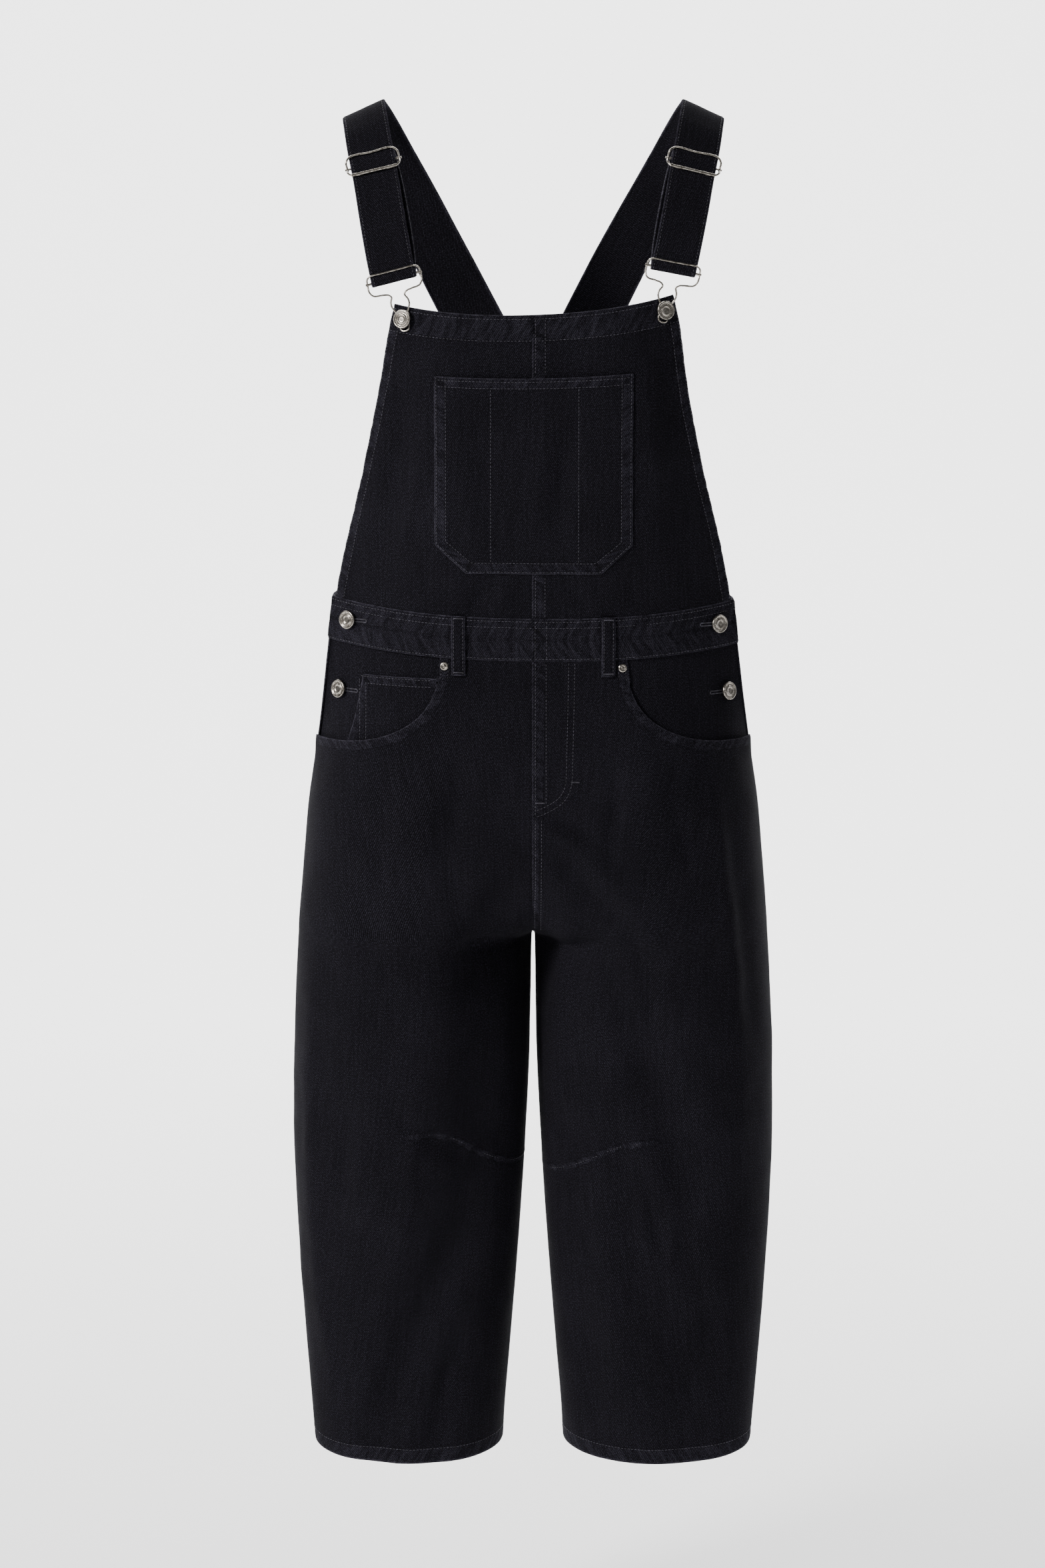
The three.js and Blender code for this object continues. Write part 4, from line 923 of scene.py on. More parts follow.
@once
def denim():
    """Washed black cotton twill: nearly black warp, a fine diagonal, paler where seams and edges rub."""
    look = bpy.context.scene.dungarees_cloth
    material, tree, shader = new_material("washed black cotton denim")
    weave = add_node(tree, "ShaderNodeUVMap", uv_map="weave").outputs["UV"]
    mm = mapping(tree, weave, Scale=(1000, 1000, 1000))
    # The twill's real spacing, 0.8 mm, is finer than a pixel, so it is drawn at 1.5 mm
    turned = mapping(tree, mm, Rotation=(0, 0, math.radians(TWILL_SLANT)))
    twill = add_node(tree, "ShaderNodeTexWave", {"Vector": turned, "Scale": math.pi / (10 * TWILL_MM),
                     "Distortion": 1.2, "Detail": 1.0, "Detail Scale": 2.0},
                     wave_type="BANDS").outputs["Fac"]
    grain = noise(tree, mm, 0.75, 3.0)
    streak_map = mapping(tree, mm, Scale=(0.42, 0.022, 1))
    streak = noise(tree, streak_map, 1.0, 2.0)
    place = add_node(tree, "ShaderNodeTexCoord").outputs["Object"]
    wash = noise(tree, place, 14.0, 3.0)

    dist, run, band, wear = (
        add_node(tree, "ShaderNodeAttribute", attribute_name=f"edge_{name}").outputs["Fac"]
        for name in ("dist", "run", "band", "wear"))
    beyond = number(tree, "SUBTRACT", dist, band)
    in_band = number(tree, "MULTIPLY_ADD", beyond, -0.6, 0.6, clamp=True)
    # Seams shrink in the wash, so the double cloth beside them puckers slantwise every 7 mm or so
    slant = number(tree, "MULTIPLY_ADD", dist, 0.55, run)
    pucker_map = add_node(tree, "ShaderNodeCombineXYZ", {"X": slant, "Y": dist}).outputs["Vector"]
    scaled = mapping(tree, pucker_map, Scale=(0.2, 0.055, 1))
    pucker = noise(tree, scaled, 1.0, 1.5)
    sharp = number(tree, "MULTIPLY_ADD", pucker, 3.4, -1.2, clamp=True)
    roped = number(tree, "MULTIPLY", sharp, in_band)
    rubbed = add_node(tree, "ShaderNodeMapRange", {"Value": dist, "From Min": 0.2, "From Max": 1.3,
                      "To Min": 1.0, "To Max": 0.0}).outputs["Result"]
    # band_line marks the groove where a double band of cloth ends: the bump sinks there, and the colour darkens
    # there as painted shade in the groove
    at_band = number(tree, "ABSOLUTE", beyond)
    band_line = number(tree, "MULTIPLY_ADD", at_band, -0.8, 1.0, clamp=True)

    tone = number(tree, "MULTIPLY_ADD", wash, 0.3, number(tree, "MULTIPLY_ADD", streak, 0.36, 0.02))
    tone = number(tree, "ADD", tone, number(tree, "MULTIPLY_ADD", grain, 1.9, -0.95))
    tone = number(tree, "ADD", tone, number(tree, "MULTIPLY_ADD", twill, 0.55, -0.27))
    tone = number(tree, "ADD", tone, number(tree, "MULTIPLY", roped, 0.32))
    # Painted shade: a slightly darker colour along the groove at the band's edge
    tone = number(tree, "SUBTRACT", tone, number(tree, "MULTIPLY", band_line, 0.1))
    base = ramp(tree, tone, [(0.0, tuple(look.dark)), (1.0, tuple(look.light)), (0.45, tuple(look.middle))])
    patches = noise(tree, mm, 0.11, 2.0)
    patchy = number(tree, "MULTIPLY_ADD", patches, 2.4, -0.7, clamp=True)
    rubbed = number(tree, "MULTIPLY", number(tree, "MULTIPLY", rubbed, wear), patchy)
    worn = number(tree, "MULTIPLY", rubbed, number(tree, "MULTIPLY_ADD", grain, 1.6, -0.25), clamp=True)
    colour = add_node(tree, "ShaderNodeMix", {"Factor": worn, 6: base, 7: tuple(look.worn)},
                      data_type="RGBA")
    tree.links.new(colour.outputs[2], shader.inputs["Base Color"])

    height = number(tree, "MULTIPLY_ADD", twill, 0.09, number(tree, "MULTIPLY", grain, 0.16))
    height = number(tree, "ADD", height, number(tree, "MULTIPLY", roped, 0.55))
    height = number(tree, "SUBTRACT", height, number(tree, "MULTIPLY", band_line, 0.28))
    bump = add_node(tree, "ShaderNodeBump",
                    {"Height": height, "Distance": MM, "Strength": 1.0}).outputs["Normal"]
    tree.links.new(bump, shader.inputs["Normal"])
    shader.inputs["Roughness"].default_value = 0.95
    shader.inputs["Specular IOR Level"].default_value = 0.06
    shader.inputs["Sheen Weight"].default_value = look.sheen
    shader.inputs["Sheen Roughness"].default_value = 0.45
    shader.inputs["Sheen Tint"].default_value = linear("#b9b6c6")
    return material


@once
def thread():
    """Core-spun polyester sewing thread, dyed with the cloth and paler than it, with painted highlight: random
    stitches are made paler, as thread that catches the light.
    """
    look = bpy.context.scene.dungarees_cloth
    material, tree, shader = new_material("dark grey core-spun sewing thread")
    place = add_node(tree, "ShaderNodeTexCoord").outputs["Object"]
    # The noise called wear here paints highlight: on top of the thread's own paler colour, it makes some stitches
    # paler as if they catch the light
    wear = noise(tree, place, 260.0, 1.0)
    base = ramp(tree, wear, [(0.3, tuple(look.middle)), (0.75, tuple(look.thread))])
    tree.links.new(base, shader.inputs["Base Color"])
    shader.inputs["Roughness"].default_value = 0.6
    return material


@once
def nickel():
    """Nickel plate, tarnished dark in small random patches and smoother where polished."""
    look = bpy.context.scene.dungarees_metal
    material, tree, shader = new_material("antique nickel plate")
    place = add_node(tree, "ShaderNodeTexCoord").outputs["Object"]
    tarnish = noise(tree, place, 420.0, 4.0)
    base = ramp(tree, tarnish, [(0.3, tuple(look.tarnish)), (0.62, tuple(look.plate))])
    tree.links.new(base, shader.inputs["Base Color"])
    rough = add_node(tree, "ShaderNodeMapRange",
                     {"Value": tarnish, "To Min": 0.34, "To Max": 0.2}).outputs["Result"]
    tree.links.new(rough, shader.inputs["Roughness"])
    shader.inputs["Metallic"].default_value = 1.0
    return material


@once
def studio_paper():
    """Matt white background paper."""
    look = bpy.context.scene.dungarees_stage
    material, tree, shader = new_material("matt white background paper")
    place = add_node(tree, "ShaderNodeTexCoord").outputs["Object"]
    fibre = noise(tree, place, 6.0, 2.0)
    pale = [min(1.0, c * 1.01) for c in look.paper[:3]] + [1.0]
    base = ramp(tree, fibre, [(0.2, tuple(look.paper)), (0.8, tuple(pale))])
    tree.links.new(base, shader.inputs["Base Color"])
    shader.inputs["Roughness"].default_value = 0.9
    return material


MATERIALS = {"denim": denim, "thread": thread, "nickel": nickel, "paper": studio_paper}


def colour_property(name, description, hex_colour):
    return FloatVectorProperty(name=name, description=description, subtype="COLOR", size=4, min=0, max=1,
                               default=linear(hex_colour))


class DUNGAREES_PG_cloth(bpy.types.PropertyGroup):
    """Colours and feel of the denim"""
    dark: colour_property("Dark", "Denim in the hollows of its weave", "#060608")
    middle: colour_property("Middle", "Denim's main colour", "#111015")
    light: colour_property("Light", "Denim where the dye has washed thin", "#2a2931")
    worn: colour_property("Worn", "Denim rubbed pale along its edges", "#4a4853")
    thread: colour_property("Thread", "Sewing thread where it catches the light", "#4b4955")
    sheen: FloatProperty(name="Sheen", description="Soft light from the cloth's fibres at a slant",
                         default=0.012,
                         min=0, max=1, subtype="FACTOR")


class DUNGAREES_PG_metal(bpy.types.PropertyGroup):
    """Colours of the hooks, sliders, buttons and rivets"""
    plate: colour_property("Plate", "Polished nickel plate", "#a9a49c")
    tarnish: colour_property("Tarnish", "Darkened nickel plate", "#5c5750")


class DUNGAREES_PG_stage(bpy.types.PropertyGroup):
    """Floor, backdrop and lights"""
    paper: colour_property("Paper", "Floor and backdrop", "#f4f4f4")
    floor: FloatProperty(name="Floor", description="Height of the floor", default=-1.5, unit="LENGTH",
                         subtype="DISTANCE")
    key: FloatProperty(name="Key light", description="Power of the large light in front on the left",
                       default=215.0,
                       min=0, unit="POWER")
    rim: FloatProperty(name="Rim light", description="Power of the light behind on the right", default=16.0,
                        min=0, unit="POWER")
    backdrop: FloatProperty(name="Backdrop light", description="Power of the light over the paper behind",
                            default=900.0, min=0, unit="POWER")
    sky: FloatProperty(name="Surrounding light", description="Strength of the light from all round",
                       default=0.24,
                       min=0)


class Maker:
    """What the operators share."""
    bl_options = {"REGISTER", "UNDO"}


class DUNGAREES_OT_legs(Maker, bpy.types.Operator):
    """Makes the front and back leg panels with their turned-up hems"""
    bl_idname = "dungarees.legs"
    bl_label = "Legs"

    def execute(self, context):
        front = leg_front_shares()
        back = stations(1.0, 0.0105, fine=(0.0018, 0.005, 0.01))
        for name, sign in SIDES:
            cloth_piece(f"front_leg_cloth_{name}", f"front_leg_{name}", front, leg_levels(),
                        lay_leg(sign, "front"))
            cloth_piece(f"back_leg_cloth_{name}", f"back_leg_{name}", back, leg_levels(),
                        lay_leg(sign, "back"))
        return {"FINISHED"}


def pocket_depth(sign):
    """How far the facing's outer face lies inside the garment's outside."""
    return CLOTH + LAYER_GAP + (COIN_CLOTH + LAYER_GAP if sign < 0 else 0)


def lay_under(side, low, high, top, bottom, offset, edges_of):
    """How a flat piece under the pocket mouth lies, between two shares and two heights."""
    def lay(across, down):
        s = mix(low, high, across)
        z = mix(top(s), bottom, down)
        points, normals = garment(side, s, z, -offset)
        width = panel_width("front", z)
        edges = edges_of(s * width, z, low, high, width)
        return points, normals, np.stack((side * s * width, z), axis=-1), edges
    return lay


class DUNGAREES_OT_pockets(Maker, bpy.types.Operator):
    """Makes the hip facings, the coin pocket and the button stands"""
    bl_idname = "dungarees.pockets"
    bl_label = "Hip pockets"

    def execute(self, context):
        end = 1 - SEAM / float(panel_width("front", MOUTH["top"]))
        first = float(share_at("front", MOUTH["top"], 76.0))
        plain = lambda across, z, low, high, width: [(99.0, z, 0, 0)]
        band_clear = lambda s: waist_bottom(s) + TUCK
        stand_start = float(share_at("front", STAND["top"], STAND["inner"]))
        for name, sign in SIDES:
            depth = pocket_depth(sign)
            cloth_piece(f"hip_facing_cloth_{name}", f"hip_facing_{name}", stations(1, 0.025, (0.004, 0.01)),
                        stations(1, 0.035, (0.005, 0.015)),
                        lay_under(sign, first, end, band_clear, FACING_BOTTOM, depth, plain))
            under = depth + CLOTH + GAP + BAND_THICK - BAND_PROUD
            cloth_piece(f"button_stand_cloth_{name}", f"button_stand_{name}",
                        stations(1, 0.07, (0.01, 0.03)),
                        stations(1, 0.05, (0.005, 0.015)),
                        lay_under(sign, stand_start, end, lambda s: STAND["top"] + 0 * s, STAND["bottom"],
                                  under, plain))
        coin_low = float(share_at("front", MOUTH["top"], 86.0))
        coin_high = float(share_at("front", -550.0, COIN["outer"]))

        def coin_edges(across, z, low, high, width):
            return [(high * width - across, z, 8.5, 1), (COIN["top"] - z, across, 8.5, 1)]

        cloth_piece("coin_pocket_cloth", "coin_pocket", stations(1, 0.035, (0.004, 0.012)),
                    stations(1, 0.04, (0.006, 0.018)),
                    lay_under(-1, coin_low, coin_high, lambda s: COIN["top"] + 0 * s, COIN["bottom"],
                              CLOTH + LAYER_GAP, coin_edges),
                    thick=COIN_CLOTH)
        return {"FINISHED"}


def lay_band(side, back):
    """How a waistband piece lies. across runs round the body, down from its top edge to its bottom edge."""
    def lay(across, down):
        if back:
            turn = 2 * across - 1
            s = 2 - np.abs(turn) * (1 - SEAM / BAND_SPAN)
            which = np.where(turn < 0, -1.0, 1.0)
            round_body = turn * panel_width("back", -480.0)
        else:
            s = mix(SEAM / BAND_SPAN, 1 - SEAM / BAND_SPAN, across)
            which = np.full(s.shape, float(side))
            round_body = side * s * panel_width("front", -480.0)
        top, bottom = waist_top(s), waist_bottom(s)
        z = mix(top, bottom, down)
        from_top, from_bottom = top - z, z - bottom
        puff = 0.5 * unevenness(round_body / 5.2 + from_top / 14, from_top / 17 + 30)
        calm = np.clip(np.minimum(from_top, from_bottom) / 5, 0.15, 1)
        offset = BAND_PROUD + edge_roll(from_top, 0.7, 1.3) + edge_roll(from_bottom, 0.7, 1.3) + puff * calm
        lap = 12.0 if side > 0 and not back else 1.5
        edges = [(from_top, round_body, 19.0, 1), (from_bottom, round_body, 19.0, 0.5)]
        edges.append((np.abs(1 - s) * BAND_SPAN, z, 1.5, 0.4))
        if not back:
            edges.append((s * BAND_SPAN, z, lap, 0.5))
        points, normals = garment(which, s, z, offset)
        lap_over(points, side, s * BAND_SPAN)
        return points, normals, np.stack((round_body, z), axis=-1), edges
    return lay


class DUNGAREES_OT_waistband(Maker, bpy.types.Operator):
    """Makes the waistband's two front pieces and its back piece"""
    bl_idname = "dungarees.waistband"
    bl_label = "Waistband"

    def execute(self, context):
        down = stations(1, 0.06, (0.012, 0.03))
        for name, sign in SIDES:
            cloth_piece(f"waistband_front_cloth_{name}", f"waistband_front_{name}",
                        stations(1, 0.011, (0.002, 0.006)),
                        down, lay_band(sign, False), thick=BAND_THICK)
        cloth_piece("waistband_back_cloth", "waistband_back", stations(1, 0.006, (0.001, 0.003)),
                    down, lay_band(0, True), thick=BAND_THICK)
        return {"FINISHED"}


BIB_TURN = 1.25


def bib_levels():
    """Distances down the bib: the turned-in hem inside, its fold, then the outside."""
    fold = BIB_TURN * math.pi
    inside = -fold - np.linspace(BIB["hem"] - 1, 0, 9)
    bend = -fold * np.linspace(1, 0, 6)[1:]
    outside = np.concatenate(([0.6, 1.5, 2.8], np.linspace(0, 278, 97)[2:]))
    return np.concatenate((inside, bend, outside))


def lay_bib(sign):
    span = BIB["top_centre"] - WAIST["top_centre"]

    def lay(across, down):
        path = np.minimum(0, down)
        angle = np.clip(-path / BIB_TURN, 0, math.pi)
        back_down = np.maximum(0, -path - BIB_TURN * math.pi)
        deep = np.where(down > 0, down, back_down) / span
        share_down = np.clip(deep, 0, 1)
        edge_z = mix(BIB["top_side"], WAIST["top_side"], share_down)
        top = mix(BIB["top_centre"], BIB["top_side"], across * across)
        edge = share_at("front", edge_z, column(BIB_EDGE, "x", edge_z))
        s = mix(SEAM / 200, edge, across)
        z = mix(top, waist_top(s) - TUCK, share_down) - BIB_TURN * (1 - np.sin(angle)) * (down <= 0)
        z = np.where(down > 0, z - BIB_TURN * np.clip(1 - down / 6, 0, 1), z)
        from_top, from_edge = top - z, (edge - s) * panel_width("front", z)
        to_centre = s * panel_width("front", z)
        offset = -BIB_TURN * (1 - np.cos(angle))
        puff = unevenness(to_centre / 5.4 + from_top / 12 + 9 * sign, from_top / 15)
        hem = np.clip((BIB["hem"] - from_top) / 4, 0, 1) * np.clip(from_top / 5, 0, 1)
        side_puff = unevenness(z / 5.4, from_edge / 9) * np.clip((11 - from_edge) / 3, 0, 1)
        offset = offset + np.where(down > 0, 0.7 * puff * hem + 0.35 * side_puff, 0)
        at_centre = (0.3 if sign > 0 else 1) * edge_roll(to_centre, 0.8, 1.5)
        offset = offset + edge_roll(from_edge, 0.6, 1.2) + at_centre
        points, normals = garment(sign, s, z, offset)
        lap_over(points, sign, to_centre)
        edges = [(np.abs(from_top), sign * to_centre, BIB["hem"] - 0.5, 0.8), (from_edge, z, 10.5, 0.7),
                 (to_centre, z, 10.5 if sign > 0 else 1.5, 0.7),
                 (np.abs(z - waist_top(s)), to_centre, 1.0, 0)]
        return points, normals, np.stack((sign * to_centre, z), axis=-1), edges

    return lay


class DUNGAREES_OT_bib(Maker, bpy.types.Operator):
    """Makes the bib's two halves with the turned-in hem along the top"""
    bl_idname = "dungarees.bib"
    bl_label = "Bib"

    def execute(self, context):
        for name, sign in SIDES:
            cloth_piece(f"bib_cloth_{name}", f"bib_{name}", stations(1, 0.0165, (0.003, 0.009)),
                        bib_levels(),
                        lay_bib(sign))
        return {"FINISHED"}


def lay_bib_pocket(across, down):
    """How the bib pocket lies. across runs from its right edge (0) to its left edge (1)."""
    height = POCKET["top"] - POCKET["bottom"]
    straight = POCKET["top"] - POCKET["chamfer_top"]
    turn = 2 * across - 1
    deep = down * height
    half = mix(POCKET["half"], POCKET["bottom_half"],
               np.clip((deep - straight) / (height - straight), 0, 1))
    z = POCKET["top"] - deep - POCKET["dip"] * (1 - turn * turn) * (1 - down)
    x = turn * half
    from_side = (1 - np.abs(turn)) * half
    slant = np.where(deep > straight, np.cos(math.atan2(POCKET["half"] - POCKET["bottom_half"],
                                                        height - straight)), 1)
    from_side = from_side * slant
    from_top, from_bottom = deep, height - deep
    inner = np.minimum(np.minimum(from_side, from_bottom), 40) / 40
    bag = 1.1 * ease(inner) + POCKET["loose"] * np.clip(1 - from_top / 50, 0, 1) * ease(from_side / 26)
    puff = 0.35 * unevenness(x / 5.3 + deep / 5.3, 3 + np.minimum(from_side, from_top) / 9)
    border = np.clip((11 - np.minimum(np.minimum(from_side, from_bottom), from_top)) / 3, 0, 1)
    offset = POCKET["clear"] + CLOTH + bag + puff * border
    offset = offset + edge_roll(from_side, 0.5, 1.0) + edge_roll(from_bottom, 0.5, 1.0)
    offset = offset + edge_roll(from_top, 0.4, 1.0)
    points, normals = at_x("front", x, z, offset)
    edges = [(from_top, x, 10.0, 1), (from_side, z, 10.4, 1), (from_bottom, x, 10.4, 1)]
    return points, normals, np.stack((x, z), axis=-1), edges


class DUNGAREES_OT_bib_pocket(Maker, bpy.types.Operator):
    """Makes the patch pocket on the bib"""
    bl_idname = "dungarees.bib_pocket"
    bl_label = "Bib pocket"

    def execute(self, context):
        cloth_piece("bib_pocket_cloth", "bib_pocket", stations(1, 0.0145, (0.003, 0.008)),
                    stations(1, 0.0145, (0.003, 0.008)), lay_bib_pocket)
        return {"FINISHED"}


def lay_back_bib(across, down):
    """How the back panel lies."""
    turn = 2 * across - 1
    edge_z = mix(BACK_PEAK["shoulder_z"], waist_top(np.ones_like(down)), down)
    centre_z = mix(BACK_PEAK["z"], waist_top(np.full_like(down, 2.0)), down)
    level = mix(centre_z, edge_z, np.abs(turn)) - GAP * (1 - down)
    edge_x = column(BACK_EDGE, "x", edge_z)
    s = share_at("back", level, np.abs(turn) * edge_x)
    z = np.where(down > 0.9999, waist_top(s) - TUCK, level)
    from_edge = (1 - np.abs(turn)) * edge_x * 0.8
    puff = 0.3 * unevenness(z / 5.4, from_edge / 9) * np.clip((11 - from_edge) / 3, 0, 1)
    offset = edge_roll(from_edge, 0.5, 1.2) + puff
    points, normals = garment(np.where(turn < 0, -1.0, 1.0), s, z, offset)
    x = turn * edge_x
    edges = [(from_edge, z, 9.0, 0.7), (np.abs(level - edge_z), x, 1.5, 0)]
    return points, normals, np.stack((x, z), axis=-1), edges


class DUNGAREES_OT_back_panel(Maker, bpy.types.Operator):
    """Makes the back panel that rises from the waistband to the straps"""
    bl_idname = "dungarees.back_panel"
    bl_label = "Back panel"

    def execute(self, context):
        cloth_piece("back_bib_cloth", "back_bib", stations(1, 0.011, (0.002, 0.006)),
                    stations(1, 0.018, (0.003, 0.01)),
                    lay_back_bib)
        return {"FINISHED"}


LOOP_ROWS = table(("down", "off"), (
    (0, 1.3), (3, 1.4), (12, 2.2), (24, 2.6), (35, 2.1), (42, 1.3), (48, 0.9), (55, 0.8),
))


def lay_loop(face, x, top):
    def lay(across, down):
        z = top - down
        off = np.interp(down, LOOP_ROWS["down"], LOOP_ROWS["off"]) + LOOP["thick"]
        away = x + (across - 0.5) * LOOP["width"]
        from_side = np.minimum(across, 1 - across) * LOOP["width"]
        from_end = np.minimum(down, 55 - down)
        offset = off + edge_roll(from_side, 0.7, 1.0) + edge_roll(from_end, 0.5, 1.0)
        offset = offset + 0.35 * ease(from_side / 5)
        points, normals = at_x(face, away, z, offset)
        edges = [(from_side, z, 3.0, 0.8), (from_end, away, 2.5, 0.8)]
        return points, normals, np.stack((away, z), axis=-1), edges
    return lay


def loop_places():
    """Each belt loop's name, face, place and top."""
    places = [("belt_loop_back", "back", 0.0, float(waist_top(np.array(2.0))) + 0.5)]
    for name, sign in SIDES:
        top = float(waist_top(share_at("front", WAIST["top_centre"], LOOP["x"]))) + 0.5
        places.append((f"belt_loop_front_{name}", "front", sign * LOOP["x"], top))
    return places


class DUNGAREES_OT_belt_loops(Maker, bpy.types.Operator):
    """Makes the three belt loops"""
    bl_idname = "dungarees.belt_loops"
    bl_label = "Belt loops"

    def execute(self, context):
        for node, face, x, top in loop_places():
            cloth_piece(f"{node}_cloth", node, stations(1, 0.1, (0.03, 0.09)),
                        stations(55, 1.6, (0.4, 1.0)),
                        lay_loop(face, x, top), thick=LOOP["thick"])
        return {"FINISHED"}


class DUNGAREES_OT_straps(Maker, bpy.types.Operator):
    """Makes the two straps, each doubled back through its slider"""
    bl_idname = "dungarees.straps"
    bl_label = "Straps"

    def execute(self, context):
        for name, sign in SIDES:
            lay, count = lay_strap(sign)
            cloth_piece(f"strap_cloth_{name}", f"strap_{name}", stations(1, 0.075, (0.012, 0.032)),
                        np.arange(count, dtype=float), lay, thick=STRAP["thick"])
        return {"FINISHED"}


# Metal

def finish_metal(name, node, mesh):
    piece = add_piece(name, mesh, "nickel")
    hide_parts(node)
    return piece


def turned(bm, profile, place, segments=40):
    """Turns a profile of (radius, height) about the place's out direction."""
    made = [bm.verts.new((r * MM, 0, h * MM)) for r, h in profile]
    edges = [bm.edges.new(pair) for pair in zip(made, made[1:])]
    bmesh.ops.spin(bm, geom=made + edges, cent=(0, 0, 0), axis=(0, 0, 1), angle=2 * math.pi,
                   steps=segments, use_merge=True, use_duplicate=False)
    fresh = [v for v in bm.verts if not v.tag]
    bmesh.ops.remove_doubles(bm, verts=fresh, dist=1e-6)
    fresh = [v for v in bm.verts if not v.tag]
    bmesh.ops.transform(bm, matrix=place, verts=fresh)
    for v in fresh:
        v.tag = True


def frame_matrix(origin, up, out):
    """Place of a metal piece in metres: x across, y up along the cloth, z out from it."""
    up, out = Vector(up), Vector(out).normalized()
    across = up.cross(out).normalized()
    square = out.cross(across).normalized()
    return Matrix.Translation(Vector(origin) * MM) @ Matrix((across, square, out)).transposed().to_4x4()


def button_profile(standoff):
    r, top = BUTTON["radius"], standoff + BUTTON["height"]
    return [
        (0, 0), (BUTTON["stem"], 0), (BUTTON["stem"], standoff), (r - 1.2, standoff),
        (r - 0.3, standoff + 0.3),
        (r, standoff + 1), (r, top - 0.9), (r - 0.25, top - 0.25), (r - 0.8, top), (r - 1.4, top - 0.2),
        (r - 1.8, top - 0.65), (r - 2.4, top - 0.8), (r * 0.56, top - 0.75), (r * 0.53, top - 0.45),
        (r * 0.5, top - 0.2), (r * 0.46, top - 0.1), (r * 0.41, top - 0.25), (r * 0.37, top - 0.6),
        (r * 0.2, top - 0.5), (0, top - 0.42),
    ]


def button_mesh(name, standoff, place):
    bm = bmesh.new()
    turned(bm, button_profile(standoff), place)
    # A ring of small studs fills the face between the rims
    ring = BUTTON["radius"] * 0.68
    for k in range(24):
        angle = 2 * math.pi * k / 24
        stud = Vector((ring * math.cos(angle), ring * math.sin(angle),
                       standoff + BUTTON["height"] - 0.8)) * MM
        size = Matrix.Diagonal((1.0, 0.55, 0.45, 1))
        spot = place @ Matrix.Translation(stud) @ Matrix.Rotation(angle, 4, "Z") @ size
        bmesh.ops.create_uvsphere(bm, u_segments=6, v_segments=4, radius=0.85 * MM, matrix=spot)
    bmesh.ops.recalc_face_normals(bm, faces=bm.faces)
    return mesh_from(bm, name)


def rivet_mesh(name, place):
    r, h, nub = RIVET["radius"], RIVET["height"], RIVET["nub"]
    bm = bmesh.new()
    turned(bm, [(0, 0), (r - 0.2, 0), (r, 0.3), (r - 0.25, 0.75), (r - 1.1, h * 0.8), (nub + 1.0, h * 0.7),
                (nub + 0.35, h * 0.3), (nub + 0.1, h * 0.35), (nub - 0.1, h * 0.9), (nub - 0.5, h),
                (0, h)], place, 32)
    bmesh.ops.recalc_face_normals(bm, faces=bm.faces)
    return mesh_from(bm, name)


def metal_place(sign, x, z, offset):
    points, normals = garment(np.array([sign]), share_at("front", np.array([z]), np.array([x])),
                              np.array([z]),
                              np.array([offset]))
    return points[0], normals[0]


class DUNGAREES_OT_buttons(Maker, bpy.types.Operator):
    """Makes the bib and side buttons and the rivets"""
    bl_idname = "dungarees.buttons"
    bl_label = "Buttons and rivets"

    def execute(self, context):
        up = (0, 0, 1)
        for name, sign in SIDES:
            for kind, x, z, on_band in BUTTON_SPOTS:
                under = BAND_PROUD if on_band else -pocket_depth(sign)
                origin, out = metal_place(sign, x, z, under + GAP)
                mesh = button_mesh(f"{kind}_{name}_metal", 0.8, frame_matrix(origin, up, out))
                finish_metal(f"{kind}_{name}_metal", f"{kind}_{name}", mesh)
            origin, out = metal_place(sign, BIB_BUTTON["x"], BIB_BUTTON["z"], GAP)
            mesh = button_mesh(f"bib_button_{name}_metal", BIB_BUTTON["stem"],
                               frame_matrix(origin, up, out))
            finish_metal(f"bib_button_{name}_metal", f"bib_button_{name}", mesh)
            origin, out = metal_place(sign, RIVET_SPOT["x"], RIVET_SPOT["z"], 2 * GAP)
            finish_metal(f"rivet_{name}_metal", f"rivet_{name}", rivet_mesh(f"rivet_{name}_metal",
                         frame_matrix(origin, up, out)))
        return {"FINISHED"}


def wire_mesh(name, parts):
    """Round wires along the given lines: (points in mm, radius, closed)."""
    data = bpy.data.curves.new(name, "CURVE")
    data.dimensions = "3D"
    data.bevel_depth = MM
    data.bevel_resolution = 3
    data.use_fill_caps = True
    for points, radius, closed in parts:
        spline = data.splines.new("POLY")
        spline.points.add(len(points) - 1)
        for point, place in zip(spline.points, points):
            point.co = (*(Vector(place) * MM), 1)
            point.radius = radius
        spline.use_cyclic_u = closed
    curve = bpy.data.objects.new(name, data)
    bpy.context.scene.collection.objects.link(curve)
    mesh = bpy.data.meshes.new_from_object(curve)
    mesh.name = name
    bpy.data.objects.remove(curve)
    bpy.data.curves.remove(data)
    return mesh


def closed_curve(points, count):
    """Smooth closed line through points."""
    points = np.array([list(p) for p in points])
    wrapped = np.vstack((points[-2:], points, points[:3]))
    last = len(wrapped) - 1
    t = np.linspace(2 / last, (2 + len(points)) / last, count, endpoint=False)
    return catmull_rom(wrapped, t)


